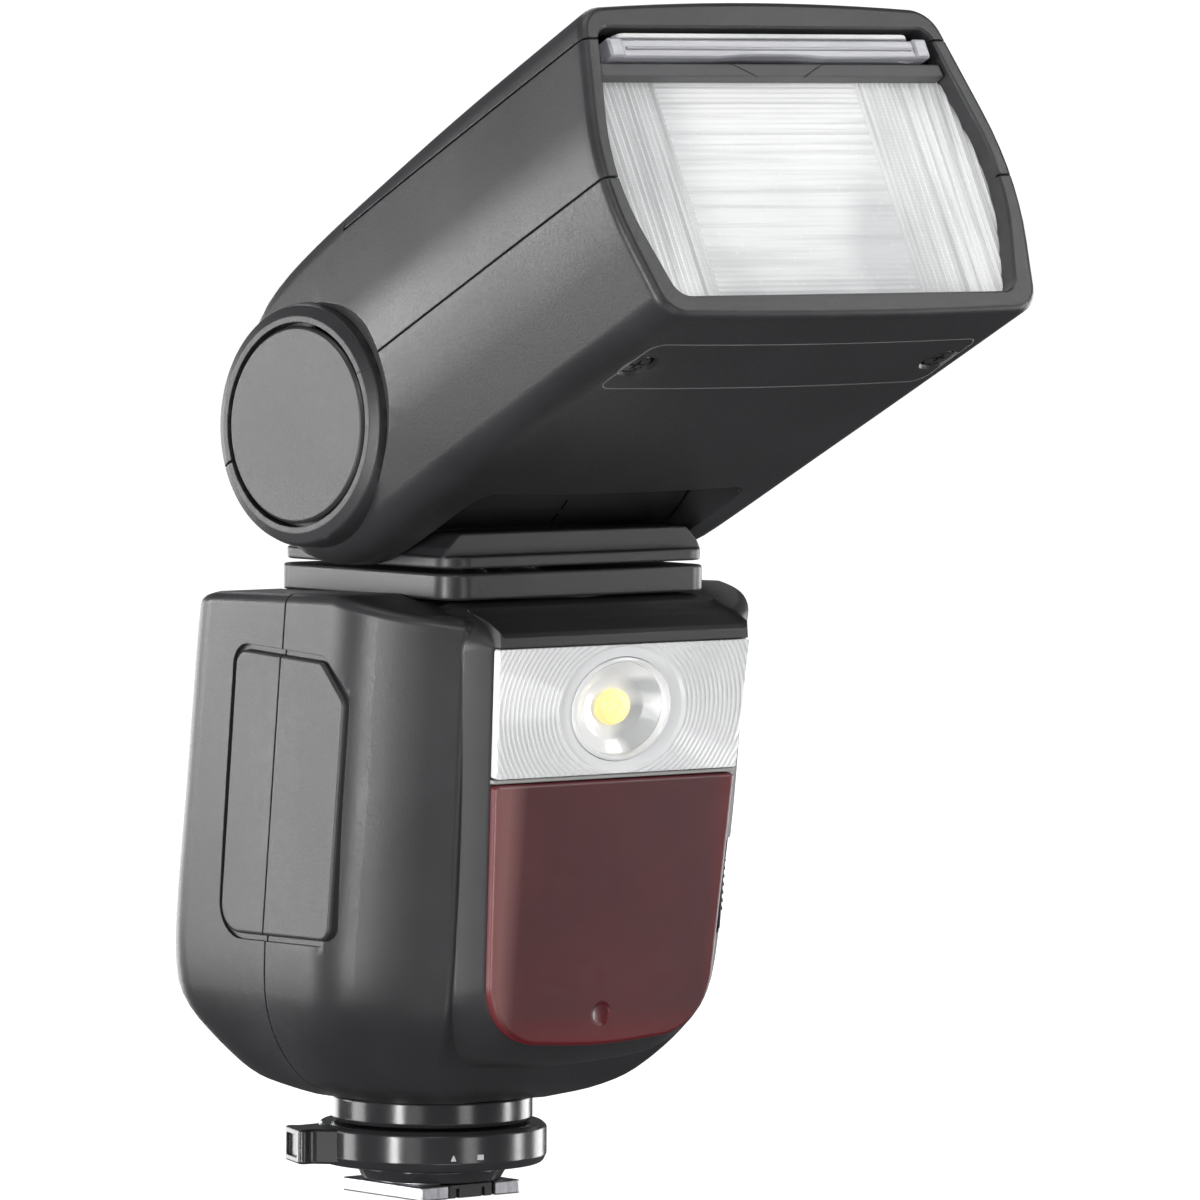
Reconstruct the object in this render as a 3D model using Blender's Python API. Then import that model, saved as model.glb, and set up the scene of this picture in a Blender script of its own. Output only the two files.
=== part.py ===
"""Speedlight flash: shoe foot and lock, leaning body with lamp and sensor windows, swivel collar,
tilting zoom head. Metres, +Z up, +X to the right seen from the front, the front faces -Y.
The origin is the centre of the underside of the shoe foot. Helpers below take millimetres."""

from math import atan, atan2, cos, pi, radians, sin, sqrt, tan

import bmesh
import bpy
from mathutils import Matrix, Vector

# ---- driving dimensions, mm ----
GAP = 0.3
WALL = 2.0
TILT = 27.0  # the head's tilt at rest, degrees above level
HINGE_Y, HINGE_Z = -14.8, 114.0
SWIVEL_Y = -13.5
HEAD_LENGTH = 77.8  # hinge axis to rim
HEAD_TOP, HEAD_BOTTOM = 27.6, -20.2
HEAD_HALF_WIDTH = 38.0
HEAD_SEAM, COVER_SEAM, COVER_REAR = 1.1, 22.4, 17.3
BARREL_R, BARREL_HALF = 17.2, 24.4
CAP_R, CAP_X = 14.15, 37.6
COLLAR = (49.2, 41.0, 89.2, 93.0)  # width, depth, bottom, top
BODY_BOTTOM = 14.8
FRONT_LEAN, REAR_LEAN = 0.098, 0.12
SEAM_Y, SEAM_Z = -12.0, 89.9
PANEL_FRONT, PANEL_TOP = -43.9, 82.7
LAMP_BOTTOM, SENSOR_TOP, SENSOR_BOTTOM = 64.1, 63.2, 24.8
NECK_R, RING_R = 14.8, 16.9
FOOT = (18.6, 18.8, 2.0)
PANEL_TRAVEL, ZOOM_TRAVEL, SCREW_PITCH = 45.0, 18.0, 2.0

for old in list(bpy.data.objects):
    bpy.data.objects.remove(old, do_unlink=True)
scene = bpy.context.scene
S = 0.001

MATERIALS = {
    "shell": ((0.045, 0.045, 0.048), 0.55, 0.0),
    "rubber": ((0.03, 0.03, 0.032), 0.75, 0.0),
    "clear": ((0.82, 0.84, 0.86), 0.12, 0.0),
    "red": ((0.16, 0.008, 0.02), 0.15, 0.0),
    "metal": ((0.72, 0.72, 0.74), 0.3, 1.0),
    "white": ((0.85, 0.85, 0.85), 0.5, 0.0),
    "board": ((0.03, 0.16, 0.07), 0.5, 0.0),
    "grey": ((0.22, 0.22, 0.23), 0.5, 0.0),
    "led": ((0.9, 0.72, 0.1), 0.4, 0.0),
    "sleeve": ((0.05, 0.05, 0.12), 0.4, 0.0),
    "glass": ((0.02, 0.025, 0.02), 0.1, 0.0),
}


def material(name):
    found = bpy.data.materials.get(name)
    if found:
        return found
    colour, rough, metal = MATERIALS[name]
    made = bpy.data.materials.new(name)
    made.use_nodes = True
    shader = made.node_tree.nodes["Principled BSDF"]
    shader.inputs["Base Color"].default_value = (*colour, 1)
    shader.inputs["Roughness"].default_value = rough
    shader.inputs["Metallic"].default_value = metal
    return made


def empty(name, at, turn=(0, 0, 0), parent=None):
    made = bpy.data.objects.new(name, None)
    made.location = Vector(at) * S
    made.rotation_euler = turn
    made.parent = parent
    scene.collection.objects.link(made)
    return made


def solid(name, points, faces, look="shell", parent=None, origin=(0, 0, 0), place=None):
    """An object of these points, mm. They are given in the parent's frame, or in place's."""
    origin = Vector(origin)
    mesh = bpy.data.meshes.new(name)
    if place is not None:
        points = [place @ Vector(p) for p in points]
    mesh.from_pydata([(Vector(p) - origin) * S for p in points], [], faces)
    shape = bmesh.new()
    shape.from_mesh(mesh)
    bmesh.ops.recalc_face_normals(shape, faces=shape.faces)
    if shape.calc_volume(signed=True) < 0:
        bmesh.ops.reverse_faces(shape, faces=shape.faces)
    shape.to_mesh(mesh)
    shape.free()
    mesh.materials.append(material(look))
    mesh.shade_smooth()
    mesh.set_sharp_from_angle(angle=radians(35))
    made = bpy.data.objects.new(name, mesh)
    made.location = origin * S
    made.parent = parent
    scene.collection.objects.link(made)
    return made


def join(target, *tools, op="DIFFERENCE", solver="EXACT"):
    """Cuts the tools from the target, or unites them with it. A tool never shows."""
    for tool in tools:
        tool.hide_render = True
        tool.display_type = "WIRE"
        cut = target.modifiers.new(tool.name, "BOOLEAN")
        cut.operation = op
        cut.solver = solver
        cut.object = tool
    return target


def rounded(corners, steps=3):
    """A closed outline through the corners (x, y, radius), each turned on an arc."""
    out = []
    for i, (x, y, r) in enumerate(corners):
        p = Vector((x, y))
        a = (Vector(corners[i - 1][:2]) - p).normalized()
        b = (Vector(corners[(i + 1) % len(corners)][:2]) - p).normalized()
        half = a.angle(b) / 2
        centre = p + (a + b).normalized() * r / sin(half)
        one, two = p + a * r / tan(half) - centre, p + b * r / tan(half) - centre
        turn = one.angle_signed(two)
        for k in range(steps + 1):
            out.append(tuple(centre + Matrix.Rotation(-turn * k / steps, 2) @ one))
    return out


def box_outline(x0, x1, y0, y1, r, steps=3):
    return rounded([(x0, y0, r), (x1, y0, r), (x1, y1, r), (x0, y1, r)], steps)


def prism(name, outline, lo, hi, axis="Z", shift=None, **more):
    """The outline pushed from lo to hi along an axis. Its two numbers are (x, y), (x, z) or (y, z)."""
    turn = {"Z": lambda a, b, h: (a, b, h), "Y": lambda a, b, h: (a, h, b), "X": lambda a, b, h: (h, a, b)}[axis]
    n = len(outline)
    points = [turn(a, b, lo) for a, b in outline] + [turn(a, b, hi) for a, b in outline]
    if shift:
        points = [shift(*p) for p in points]
    faces = [tuple(range(n)), tuple(range(n, 2 * n))]
    faces += [(i, (i + 1) % n, n + (i + 1) % n, n + i) for i in range(n)]
    return solid(name, points, faces, **more)


def block(name, x, y, z, **more):
    return prism(name, [(x[0], y[0]), (x[1], y[0]), (x[1], y[1]), (x[0], y[1])], z[0], z[1], **more)


def loft(name, sections, strips=False, **more):
    """Sections of the same number of points, joined in order. With strips the last cap is ruled
    from side to side, for a mirrored outline whose height varies from front to rear."""
    n, m = len(sections[0]), len(sections)
    points = [p for section in sections for p in section]
    faces = [tuple(range(n))]
    for k in range(m - 1):
        faces += [(k * n + i, k * n + (i + 1) % n, (k + 1) * n + (i + 1) % n, (k + 1) * n + i) for i in range(n)]
    last = (m - 1) * n
    if strips:
        faces += [(last + i, last + i + 1, last + n - 2 - i, last + n - 1 - i) for i in range(n // 2 - 1)]
    else:
        faces.append(tuple(range(last, last + n)))
    return solid(name, points, faces, **more)


def turned(name, profile, axis="Z", at=(0, 0, 0), n=24, **more):
    """A profile of (radius, height) spun about an axis. It starts and ends on the axis, or closes on itself."""
    turn = {"Z": lambda a, b, h: (a, b, h), "X": lambda a, b, h: (h, a, b), "Y": lambda a, b, h: (a, h, b)}[axis]
    at = Vector(at)
    points, rings = [], []
    for r, h in profile:
        if r == 0:
            rings.append([len(points)] * n)
            points.append(at + Vector(turn(0, 0, h)))
        else:
            rings.append(list(range(len(points), len(points) + n)))
            points += [at + Vector(turn(r * cos(2 * pi * k / n), r * sin(2 * pi * k / n), h)) for k in range(n)]
    loop = profile[0][0] > 0
    faces = []
    for i in range(len(rings) if loop else len(rings) - 1):
        a, b = rings[i], rings[(i + 1) % len(rings)]
        for k in range(n):
            face = []
            for v in (a[k], a[(k + 1) % n], b[(k + 1) % n], b[k]):
                if v not in face:
                    face.append(v)
            if len(face) > 2:
                faces.append(tuple(face))
    return solid(name, points, faces, **more)


def disc(name, r, lo, hi, axis="Z", at=(0, 0, 0), n=24, **more):
    return turned(name, [(0, lo), (r, lo), (r, hi), (0, hi)], axis, at, n, **more)


def tube(name, inner, outer, lo, hi, axis="Z", at=(0, 0, 0), n=24, **more):
    return turned(name, [(inner, lo), (outer, lo), (outer, hi), (inner, hi)], axis, at, n, **more)


def between(table, z):
    """The table's row at this height, read linearly."""
    if z <= table[0][0]:
        return table[0][1:]
    for low, high in zip(table, table[1:]):
        if z <= high[0]:
            t = (z - low[0]) / (high[0] - low[0])
            return [a + (b - a) * t for a, b in zip(low[1:], high[1:])]
    return table[-1][1:]


# ---- body: outline at each height ----
# height, half width, front face, its half width, where the side wall starts, rear face, radii at the front, side and rear
BODY = [
    (14.8, 16.0, -16.0, 8.5, -8.5, 14.5, 4.0, 4.0, 9.0),
    (16.2, 21.5, -20.5, 13.0, -10.5, 14.2, 4.0, 5.0, 11.0),
    (18.2, 27.0, -23.8, 17.0, -12.5, 14.8, 4.0, 6.0, 12.0),
    (20.8, 30.3, -26.3, 19.7, -14.5, 16.0, 4.0, 7.0, 12.0),
    (24.5, 33.2, -29.5, 22.0, -16.8, 17.6, 4.0, 7.0, 11.0),
    (28.0, 35.0, -32.0, 23.4, -18.8, 19.4, 4.0, 7.0, 10.0),
    (32.0, 36.1, -33.5, 24.2, -19.9, 20.6, 4.0, 7.0, 9.5),
    (38.0, 36.6, -34.5, 24.7, -20.6, 20.3, 4.0, 7.0, 9.0),
    (60.0, 36.9, -37.0, 26.0, -24.0, 17.5, 4.0, 7.0, 9.0),
    (84.0, 36.9, -39.0, 26.5, -26.3, 14.7, 4.0, 7.0, 9.0),
    (92.0, 36.9, -39.7, 26.5, -27.2, 13.7, 4.0, 7.0, 9.0),
]


def body_outline(z, inset=0.0, steps=3):
    """The right half from the front to the rear, then the left half back: symmetric about x = 0."""
    half, front, strip, side, rear, r1, r2, r3 = between(BODY, z)
    front, rear, half = front + inset, rear - inset, half - inset
    strip, side = strip - inset * 0.35, side + inset * 0.35
    r1, r2, r3 = max(r1 - inset * 0.5, 1.5), max(r2 - inset * 0.5, 2), max(r3 - inset, 3)
    corners = [(strip, front, r1), (half - 0.6, side, r2), (half, rear, r3)]
    whole = rounded(corners + [(-x, y, r) for x, y, r in reversed(corners)], steps)
    return whole


def top_height(y):
    """The top of the body falls to the rear and, past the collar, to the front."""
    return between([(-50, 84.0), (-41, 86.2), (-38.5, 87.4), (-33, 88.8), (-24, 90.9), (-10, 91.2), (14, 87.8), (20, 87.0)], y)[0]


def body_blank(name):
    sections = [[(x, y, z) for x, y in body_outline(z)] for z in [row[0] for row in BODY[:-2]] + [84.0]]
    for drop, inset in ((2.4, 0.25), (0.8, 1.1), (0.0, 2.6)):
        sections.append([(x, y, top_height(y) - drop) for x, y in body_outline(88.0, inset)])
    return loft(name, sections, strips=True)


def seam_y(z):
    return SEAM_Y + FRONT_LEAN * (SEAM_Z - z)


def front_y(z):
    return PANEL_FRONT + FRONT_LEAN * (PANEL_TOP - z)


REAR_AT = (0, 14.7, 84.0)
REAR_SLOPE = atan(REAR_LEAN)
# rear wall: x, height up the wall from z = 84, distance out of the wall
REAR = Matrix.Translation(REAR_AT) @ Matrix(((1, 0, 0, 0), (0, -sin(REAR_SLOPE), cos(REAR_SLOPE), 0), (0, cos(REAR_SLOPE), sin(REAR_SLOPE), 0), (0, 0, 0, 1)))


def rear(name, outline, lo, hi, at=(0, 0), **more):
    """A prism standing on the rear wall at (x, up)."""
    here = REAR @ Matrix.Translation((at[0], at[1], 0))
    origin = here @ Vector((0, 0, 0))
    return prism(name, outline, lo, hi, place=here, origin=origin, **more)


def rear_disc(name, inner, outer, lo, hi, at, n=24, **more):
    here = REAR @ Matrix.Translation((at[0], at[1], 0))
    profile = [(inner, lo), (outer, lo), (outer, hi), (inner, hi)] if inner else [(0, lo), (outer, lo), (outer, hi), (0, hi)]
    return turned(name, profile, n=n, place=here, origin=here @ Vector((0, 0, 0)), **more)


def big(name, outline):
    return prism(name, outline, -60, 60, "X")


# rear controls: centre on the wall as (x, up from z = 84)
LCD = (0.0, -13.5, 25.0, 12.5)
KEYS = {"soft_key_1": (-17.4, -31.0), "soft_key_2": (-5.8, -31.0), "soft_key_3": (5.8, -31.0), "soft_key_4": (17.4, -31.0)}
ROUND_KEYS = {"mode_key": (-20.5, -41.0), "zoom_key": (20.5, -41.0), "test_button": (-20.5, -51.0)}
DIAL = (0.0, -45.5)
DIAL_R, SET_R, ROUND_R = 9.6, 5.2, 3.4
SWITCH = (20.5, -51.0)
BATTERY = (-8.0, 36.9, -21.0, 8.0, 33.0, 78.0)
LATCH = (-10.0, 0.0, 80.2, 83.4)
PORT = (46.0, 4.6, 6.6)  # height, half width, half height, on the right front chamfer

# tools that both shells share
cavity = loft(
    "cavity",
    [[(x, y, z) for x, y in body_outline(max(z, 17.4), WALL, 2)] for z in (17.0, 20.8, 24.5, 28.0, 32.0, 38.0, 60.0)]
    + [[(x, y, 85.4) for x, y in body_outline(85.4, WALL, 2)]],
)
recess = prism("recess", box_outline(-25.0, 25.0, SWIVEL_Y - 20.9, SWIVEL_Y + 20.9, 4.5, 2), 88.9, 100)
swivel_hole = disc("swivel_hole", 17.3, 80, 100, at=(0, SWIVEL_Y, 0))
neck_hole = disc("neck_hole", 12.8, 10, 18, n=20)
battery_hole = block("battery_hole", (20, 60), (BATTERY[2] - GAP, BATTERY[3] + GAP), (BATTERY[4] - GAP, BATTERY[5] + GAP))
latch_hole = block("latch_hole", (33.2, 60), (LATCH[0] - 3.4, LATCH[1] + GAP), (LATCH[2] - GAP, LATCH[3] + GAP))

# ---- front windows ----


def lean(x, y, z):
    return (x, y + FRONT_LEAN * (PANEL_TOP - z), z)


def panel_half(z):
    return 23.3 - 0.051 * (PANEL_TOP - z)


def front_block(name, rows, depth=4.2, radius=1.6, start=0.0, **more):
    """A block that stands proud of the front wall. Each row is (height, half width, how far the front is set back)."""
    sections = []
    for z, half, back in rows:
        y = PANEL_FRONT + back + start
        outline = rounded([(half, y, radius), (half, PANEL_FRONT + depth, 0.3), (-half, PANEL_FRONT + depth, 0.3), (-half, y, radius)], 2)
        sections.append([lean(a, b, z) for a, b in outline])
    return loft(name, sections, **more)


front_shell = body_blank("body_front_shell")
lip = prism("lip", [(-37.0, 87.4), (-38.6, 87.1), (-43.7, 83.1), (-37.0, 83.1)], -22.9, 22.9, "X")
channel = prism("channel", [(-34.2, 88.9), (-34.2, 100), (-50, 100), (-50, 81.5), (-44.4, 82.9), (-39.6, 86.4)], -22.0, 22.0, "X")
lamp_hole = disc("lamp_hole", 8.9, -50, -33, "Y", at=(0, 0, 73.4), n=20)
sensor_hole = prism("sensor_hole", box_outline(-14, 14, 34, 58, 3, 1), -50, -30, "Y")
port_half, port_front, port_strip, port_side = between(BODY, PORT[0])[:4]
port_edge = Vector((port_half - 0.6 - port_strip, port_side - port_front, 0)).normalized()
port_out = Vector((port_edge.y, -port_edge.x, 0))
port_up = Vector((0, FRONT_LEAN, -1)).normalized() * -1
port_out = (port_edge.cross(port_up) * (1 if port_edge.cross(port_up).dot(port_out) > 0 else -1)).normalized()
# chamfer: along it to the side, up it, out of it
CHAMFER = Matrix.Translation(((port_half - 0.6 + port_strip) / 2, (port_front + port_side) / 2, PORT[0])) @ Matrix((port_edge, port_up, port_out)).transposed().to_4x4()
port_recess = prism("port_recess", box_outline(-PORT[1] - GAP, PORT[1] + GAP, -PORT[2] - GAP, PORT[2] + GAP, 1, 1), -1.2, 6, place=CHAMFER)
port_hole = disc("port_hole", 3.1, -9, 6, n=16, place=CHAMFER)
seam_front = big("seam_front", [(seam_y(0) - 0.15, 0), (60, 0), (60, 110), (seam_y(110) - 0.15, 110)])
seam_rear = big("seam_rear", [(seam_y(0) + 0.15, 0), (-60, 0), (-60, 110), (seam_y(110) + 0.15, 110)])
# the windows stand on this plinth, which is a little smaller than they are
plinth_rows = [(SENSOR_BOTTOM + 0.8, 11.0, 0), (26.4, 15.6, 0), (29.0, 18.2, 0), (32.5, 19.9, 0), (37.0, 20.5, 0), (83.6, panel_half(82.7) - 0.4, 0)]
plinth = front_block("plinth", plinth_rows, 9.5, 0.4, 4.5)
join(front_shell, plinth, lip, op="UNION")
join(front_shell, cavity, channel, recess, swivel_hole, neck_hole, battery_hole, latch_hole, lamp_hole, sensor_hole, port_recess, port_hole, seam_front)

rear_shell = body_blank("body_rear_shell")
lcd_hole = rear("lcd_hole", box_outline(-21.5, 21.5, -9.5, 9.5, 1, 1), -8, 8, LCD[:2])
lcd_seat = rear("lcd_seat", box_outline(-LCD[2] - GAP, LCD[2] + GAP, -LCD[3] - GAP, LCD[3] + GAP, 2.3, 2), -1.1, 8, LCD[:2])
dial_hole = rear_disc("dial_hole", 0, DIAL_R + 0.4, -1.6, 8, DIAL)
set_hole = rear_disc("set_hole", 0, 3.4, -8, 8, DIAL, 16)
key_holes = [rear(k + "_hole", box_outline(-4.5, 4.5, -2.5, 2.5, 0.8, 1), -8, 8, at) for k, at in KEYS.items()]
key_holes += [rear_disc(k + "_hole", 0, ROUND_R + 0.4, -8, 8, at, 16) for k, at in ROUND_KEYS.items()]
switch_hole = rear("switch_hole", box_outline(-5.6, 5.6, -2.0, 2.0, 0.5, 1), -8, 8, SWITCH)
join(rear_shell, cavity, recess, swivel_hole, neck_hole, battery_hole, latch_hole, lcd_hole, lcd_seat, dial_hole, set_hole, switch_hole, *key_holes, seam_rear)

lamp_window = front_block("lamp_window", [(LAMP_BOTTOM, panel_half(64.1), 0), (81.6, panel_half(81.6), 0), (PANEL_TOP, panel_half(82.7) - 0.8, 1.2)], look="clear")
lamp_pocket = disc("lamp_pocket", 8.8, -2.2, 6, "Y", at=(0, front_y(73.4) + 4.2, 73.4), n=20)
join(lamp_window, lamp_pocket)
sensor_rows = [(SENSOR_BOTTOM, 11.5, 3.0), (25.3, 14.5, 2.0), (26.6, 16.8, 1.0), (29.0, 18.8, 0.35), (32.5, 20.4, 0.05), (37.0, panel_half(37), 0), (SENSOR_TOP, panel_half(63.2), 0)]
sensor_window = front_block("sensor_window", sensor_rows, 4.2, look="red")
sensor_pocket = prism("sensor_pocket", [(-45 + 0.0, 32), (-32, 32), (-32, 60), (-45, 60)], -13.5, 13.5, "X", shift=lambda x, y, z: (x, y + FRONT_LEAN * (PANEL_TOP - z) + 2.6, z))
join(sensor_window, sensor_pocket)
prism("sensor_baffle", box_outline(-12.8, 12.8, 36.0, 56.4, 1, 1), -39.7, -38.7, "Y", shift=lambda x, y, z: lean(x, y + 0.2, z), look="glass")
disc("af_emitter", 2.2, -3.0, 0, "Y", at=(0, front_y(45) + 9.4, 45), n=16, look="red")
turned("lamp_reflector", [(7.7, -4.3), (7.7, -5.0), (5.6, -0.9), (3.0, 0.6), (3.0, 1.4), (6.2, -0.1), (8.5, -4.3)], "Y", (0, front_y(73.4) + 9.8, 73.4), 20, look="metal")
disc("lamp_led", 2.6, -0.8, 1.6, "Y", (0, front_y(73.4) + 9.9, 73.4), 16, look="led")

# ---- rear display and controls ----
rear("lcd_window", box_outline(-LCD[2], LCD[2], -LCD[3], LCD[3], 2, 2), -0.8, 0.4, LCD[:2], look="glass")
rear("lcd_module", box_outline(-21, 21, -9, 9, 0.6, 1), -4.6, -1.1, LCD[:2], look="grey")
for key, at in KEYS.items():
    rear(key, box_outline(-4.2, 4.2, -2.2, 2.2, 0.7, 2), -2.6, 0.9, at, look="rubber")
for key, at in ROUND_KEYS.items():
    rear_disc(key, 0, ROUND_R, -2.6, 0.9, at, 20, look="rubber")
rear_disc("select_dial", SET_R + 0.4, DIAL_R, -1.3, 1.4, DIAL, 28, look="rubber")
set_button = rear_disc("set_button", 0, SET_R, -0.9, 1.1, DIAL, 24, look="rubber")
set_stem = rear_disc("set_stem", 0, 3.0, -3.4, -0.5, DIAL, 12)
join(set_button, set_stem, op="UNION")
switch = rear("power_switch", box_outline(-3.4, 3.4, -1.7, 1.7, 0.5, 1), -2.6, 0.5, (SWITCH[0] - 1.9, SWITCH[1]), look="grey")
switch_ridge = rear("switch_ridge", box_outline(-1.2, 1.2, -1.3, 1.3, 0.3, 1), 0.2, 1.2, (SWITCH[0] - 1.9, SWITCH[1]))
join(switch, switch_ridge, op="UNION")

hinge_at = CHAMFER @ Vector((-PORT[1] + 0.6, 0, -0.1))
port_cover = prism("port_cover", box_outline(-PORT[1], PORT[1], -PORT[2], PORT[2], 1, 2), -0.7, 0.5, place=CHAMFER, origin=hinge_at, look="rubber")
port_plug = disc("port_plug", 1.2, -1.4, -0.5, n=12, place=CHAMFER)
join(port_cover, port_plug, op="UNION")
tube("sync_socket", 1.9, 2.8, -8.6, -1.5, n=16, place=CHAMFER, look="metal")

# ---- inside the body ----
rear("main_board", box_outline(-30, 30, -50, -2, 1, 1), -6.8, -5.2, (0, 0), look="board")
disc("main_capacitor", 10.8, 33, 82, at=(-22.4, -12.6, 0), n=24, look="sleeve")
block("battery_contacts", (-10.6, -8.9), (-16, 3), (40, 72), look="metal")
pack = block("battery_pack", (BATTERY[0], 33.2), (BATTERY[2], BATTERY[3]), (BATTERY[4], BATTERY[5]), look="rubber", origin=(36.6, -6.5, 55.5))
pack_door = prism("pack_door", [(BATTERY[2], BATTERY[4]), (BATTERY[3], BATTERY[4]), (BATTERY[3], BATTERY[5]), (BATTERY[2], BATTERY[5])], 33, 36.7, "X")
join(pack, pack_door, op="UNION")
latch = block("battery_latch", (33.9, 36.6), (LATCH[0], LATCH[1]), (LATCH[2], LATCH[3]), look="grey", origin=(36.6, -5, 81.8))
latch_rib = block("latch_rib", (36.4, 37.2), (-6.0, -4.0), (80.7, 82.9))
join(latch, latch_rib, op="UNION")

# ---- shoe: neck, foot, contacts, lock ---- 
neck = turned("shoe_neck", [(9.1, 2.3), (10.2, 2.3), (11.2, 4.0), (10.2, 4.3), (10.2, 10.8), (NECK_R, 10.8), (NECK_R, 14.5), (12.5, 14.5), (12.5, 19.2), (4.0, 19.2), (4.0, 6.6), (9.1, 6.6)], n=32)
neck_tab = tube("neck_tab", 6.0, 14.9, 17.5, 19.0, n=24)
neck_trim = block("neck_trim", (-20, 20), (11.6, 30), (10, 30))
join(neck_tab, neck_trim)
join(neck, neck_tab, op="UNION")
foot = block("shoe_foot", (-FOOT[0] / 2, FOOT[0] / 2), (-FOOT[1] / 2, FOOT[1] / 2), (0, FOOT[2]), look="metal")
foot_boss = disc("foot_boss", 8.8, 1.5, 6.3, n=28)
foot_slot = block("foot_slot", (-4.5, 4.5), (-20, 5.2), (-5, 10))  # open to the front
pin_hole = disc("pin_hole", 1.05, -2, 10, at=(-6.6, -4.0, 0), n=12)
join(foot, foot_boss, op="UNION")
join(foot, foot_slot, pin_hole)
contacts = [(0, -2.6, 1.2)] + [(x, y, 0.65) for x, y in ((-2.6, -4.0), (2.6, -4.0), (-2.6, 2.6), (2.6, 2.6))]
insulator = block("contact_block", (-4.2, 4.2), (-9.1, 4.9), (0.0, 2.0), look="rubber")
insulator_top = block("insulator_top", (-4.2, 4.2), (-6.2, 4.9), (1.6, 6.2))
insulator_pocket = block("insulator_pocket", (-3.6, 3.6), (-5.2, 4.0), (3.6, 8))
join(insulator, insulator_top, op="UNION")
join(insulator, insulator_pocket, *[disc(f"contact_hole_{i}", r + 0.3, -1, 5, at=(x, y, 0), n=12) for i, (x, y, r) in enumerate(contacts)])
pins = block("contact_pins", (-3.3, 3.3), (-4.9, 3.7), (4.2, 5.0), look="metal", origin=(0, -0.6, 4.2))
join(pins, *[disc(f"contact_pin_{i}", r, -0.45, 4.5, at=(x, y, 0), n=10) for i, (x, y, r) in enumerate(contacts)], op="UNION")
ring = tube("lock_ring", 10.6, RING_R, 4.6, 10.5, n=40, look="rubber")
lever = prism("lever", rounded([(-22.6, -4.2, 1.4), (-22.6, 4.2, 1.4), (-14.0, 5.4, 0.6), (-14.0, -5.4, 0.6)], 3), 5.0, 10.1, place=Matrix.Rotation(radians(-21), 4, "Z"))
join(ring, lever, op="UNION")
lock_pin = disc("lock_pin", 0.75, 0.3, 5.6, at=(-6.6, -4.0, 0), n=12, look="metal", origin=(-6.6, -4.0, 0))

# ---- swivel: collar on the body, shaft and ring under the yoke ----
collar = prism("swivel_collar", box_outline(-COLLAR[0] / 2, COLLAR[0] / 2, SWIVEL_Y - COLLAR[1] / 2, SWIVEL_Y + COLLAR[1] / 2, 4.0, 3), COLLAR[2], COLLAR[3])
collar_spigot = disc("collar_spigot", 16.9, 86.4, 90, at=(0, SWIVEL_Y, 0), n=28)
collar_bore = disc("collar_bore", 8.0, 80, 100, at=(0, SWIVEL_Y, 0))
join(collar, collar_spigot, op="UNION")
join(collar, collar_bore)
yoke_frame = empty("yoke_pivot", (0, SWIVEL_Y, COLLAR[3]))
up = -COLLAR[3]
YA = (0, HINGE_Y - SWIVEL_Y, HINGE_Z - COLLAR[3])  # the hinge axis in the yoke's frame


def yoke_blank(name):
    """The plate over the collar, a pedestal with a tongue in front, and the barrel on the hinge axis."""
    made = prism(name, box_outline(-24.4, 24.4, -20.3, 19.9, 4.0, 3), 0.7, 2.5, parent=yoke_frame)
    pedestal = prism(name + "_pedestal", rounded([(-24.3, 2.0, 0.5), (24.3, 2.0, 0.5), (23.2, 5.6, 1.5), (-23.2, 5.6, 1.5)], 2), -18.4, 16.0, "Y", parent=yoke_frame)
    barrel = disc(name + "_barrel", BARREL_R, -BARREL_HALF, BARREL_HALF, "X", YA, 36, parent=yoke_frame)
    bore = disc(name + "_bore", 14.6, -21.8, 21.8, "X", YA, 24, parent=yoke_frame)
    axle_bore = disc(name + "_axle_bore", 4.4, -40, 40, "X", YA, 16, parent=yoke_frame)
    well = disc(name + "_well", 12.6, 2.8, 4.7, n=24, parent=yoke_frame)
    shaft_bore = disc(name + "_shaft_bore", 7.9, -5, 12, n=20, parent=yoke_frame)
    join(made, pedestal, barrel, op="UNION", solver="MANIFOLD")
    join(made, shaft_bore, well, bore, axle_bore, solver="MANIFOLD")
    return made


yoke_front = yoke_blank("yoke_front_shell")
join(yoke_front, block("yoke_split_front", (-40, 40), (YA[1] - 0.15, 60), (-20, 60), parent=yoke_frame), solver="MANIFOLD")
yoke_rear = yoke_blank("yoke_rear_shell")
join(yoke_rear, block("yoke_split_rear", (-40, 40), (-60, YA[1] + 0.15), (-20, 60), parent=yoke_frame), solver="MANIFOLD")
turned("swivel_shaft", [(5.0, -8.8), (7.5, -8.8), (7.5, 3.1), (12.2, 3.1), (12.2, 4.3), (5.0, 4.3)], n=24, look="metal", parent=yoke_frame)
tube("swivel_retaining_ring", 7.8, 11.6, -8.4, -6.95, n=20, look="metal", parent=yoke_frame)
tube("hinge_axle", 2.6, 4.0, -32.6, 32.6, "X", YA, 16, look="metal", parent=yoke_frame)
for side, s in (("left", -1), ("right", 1)):
    lo, hi = sorted((s * 28.4, s * 30.4))
    tube(f"axle_nut_{side}", 4.5, 7.4, lo, hi, "X", YA, 18, look="metal", parent=yoke_frame)

# ---- head: x across, v forwards from the hinge axis, w up; the head's frame has y = -v, z = w ----
head = empty("head_pivot", (0, HINGE_Y, HINGE_Z), (-radians(TILT), 0, 0))
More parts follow.
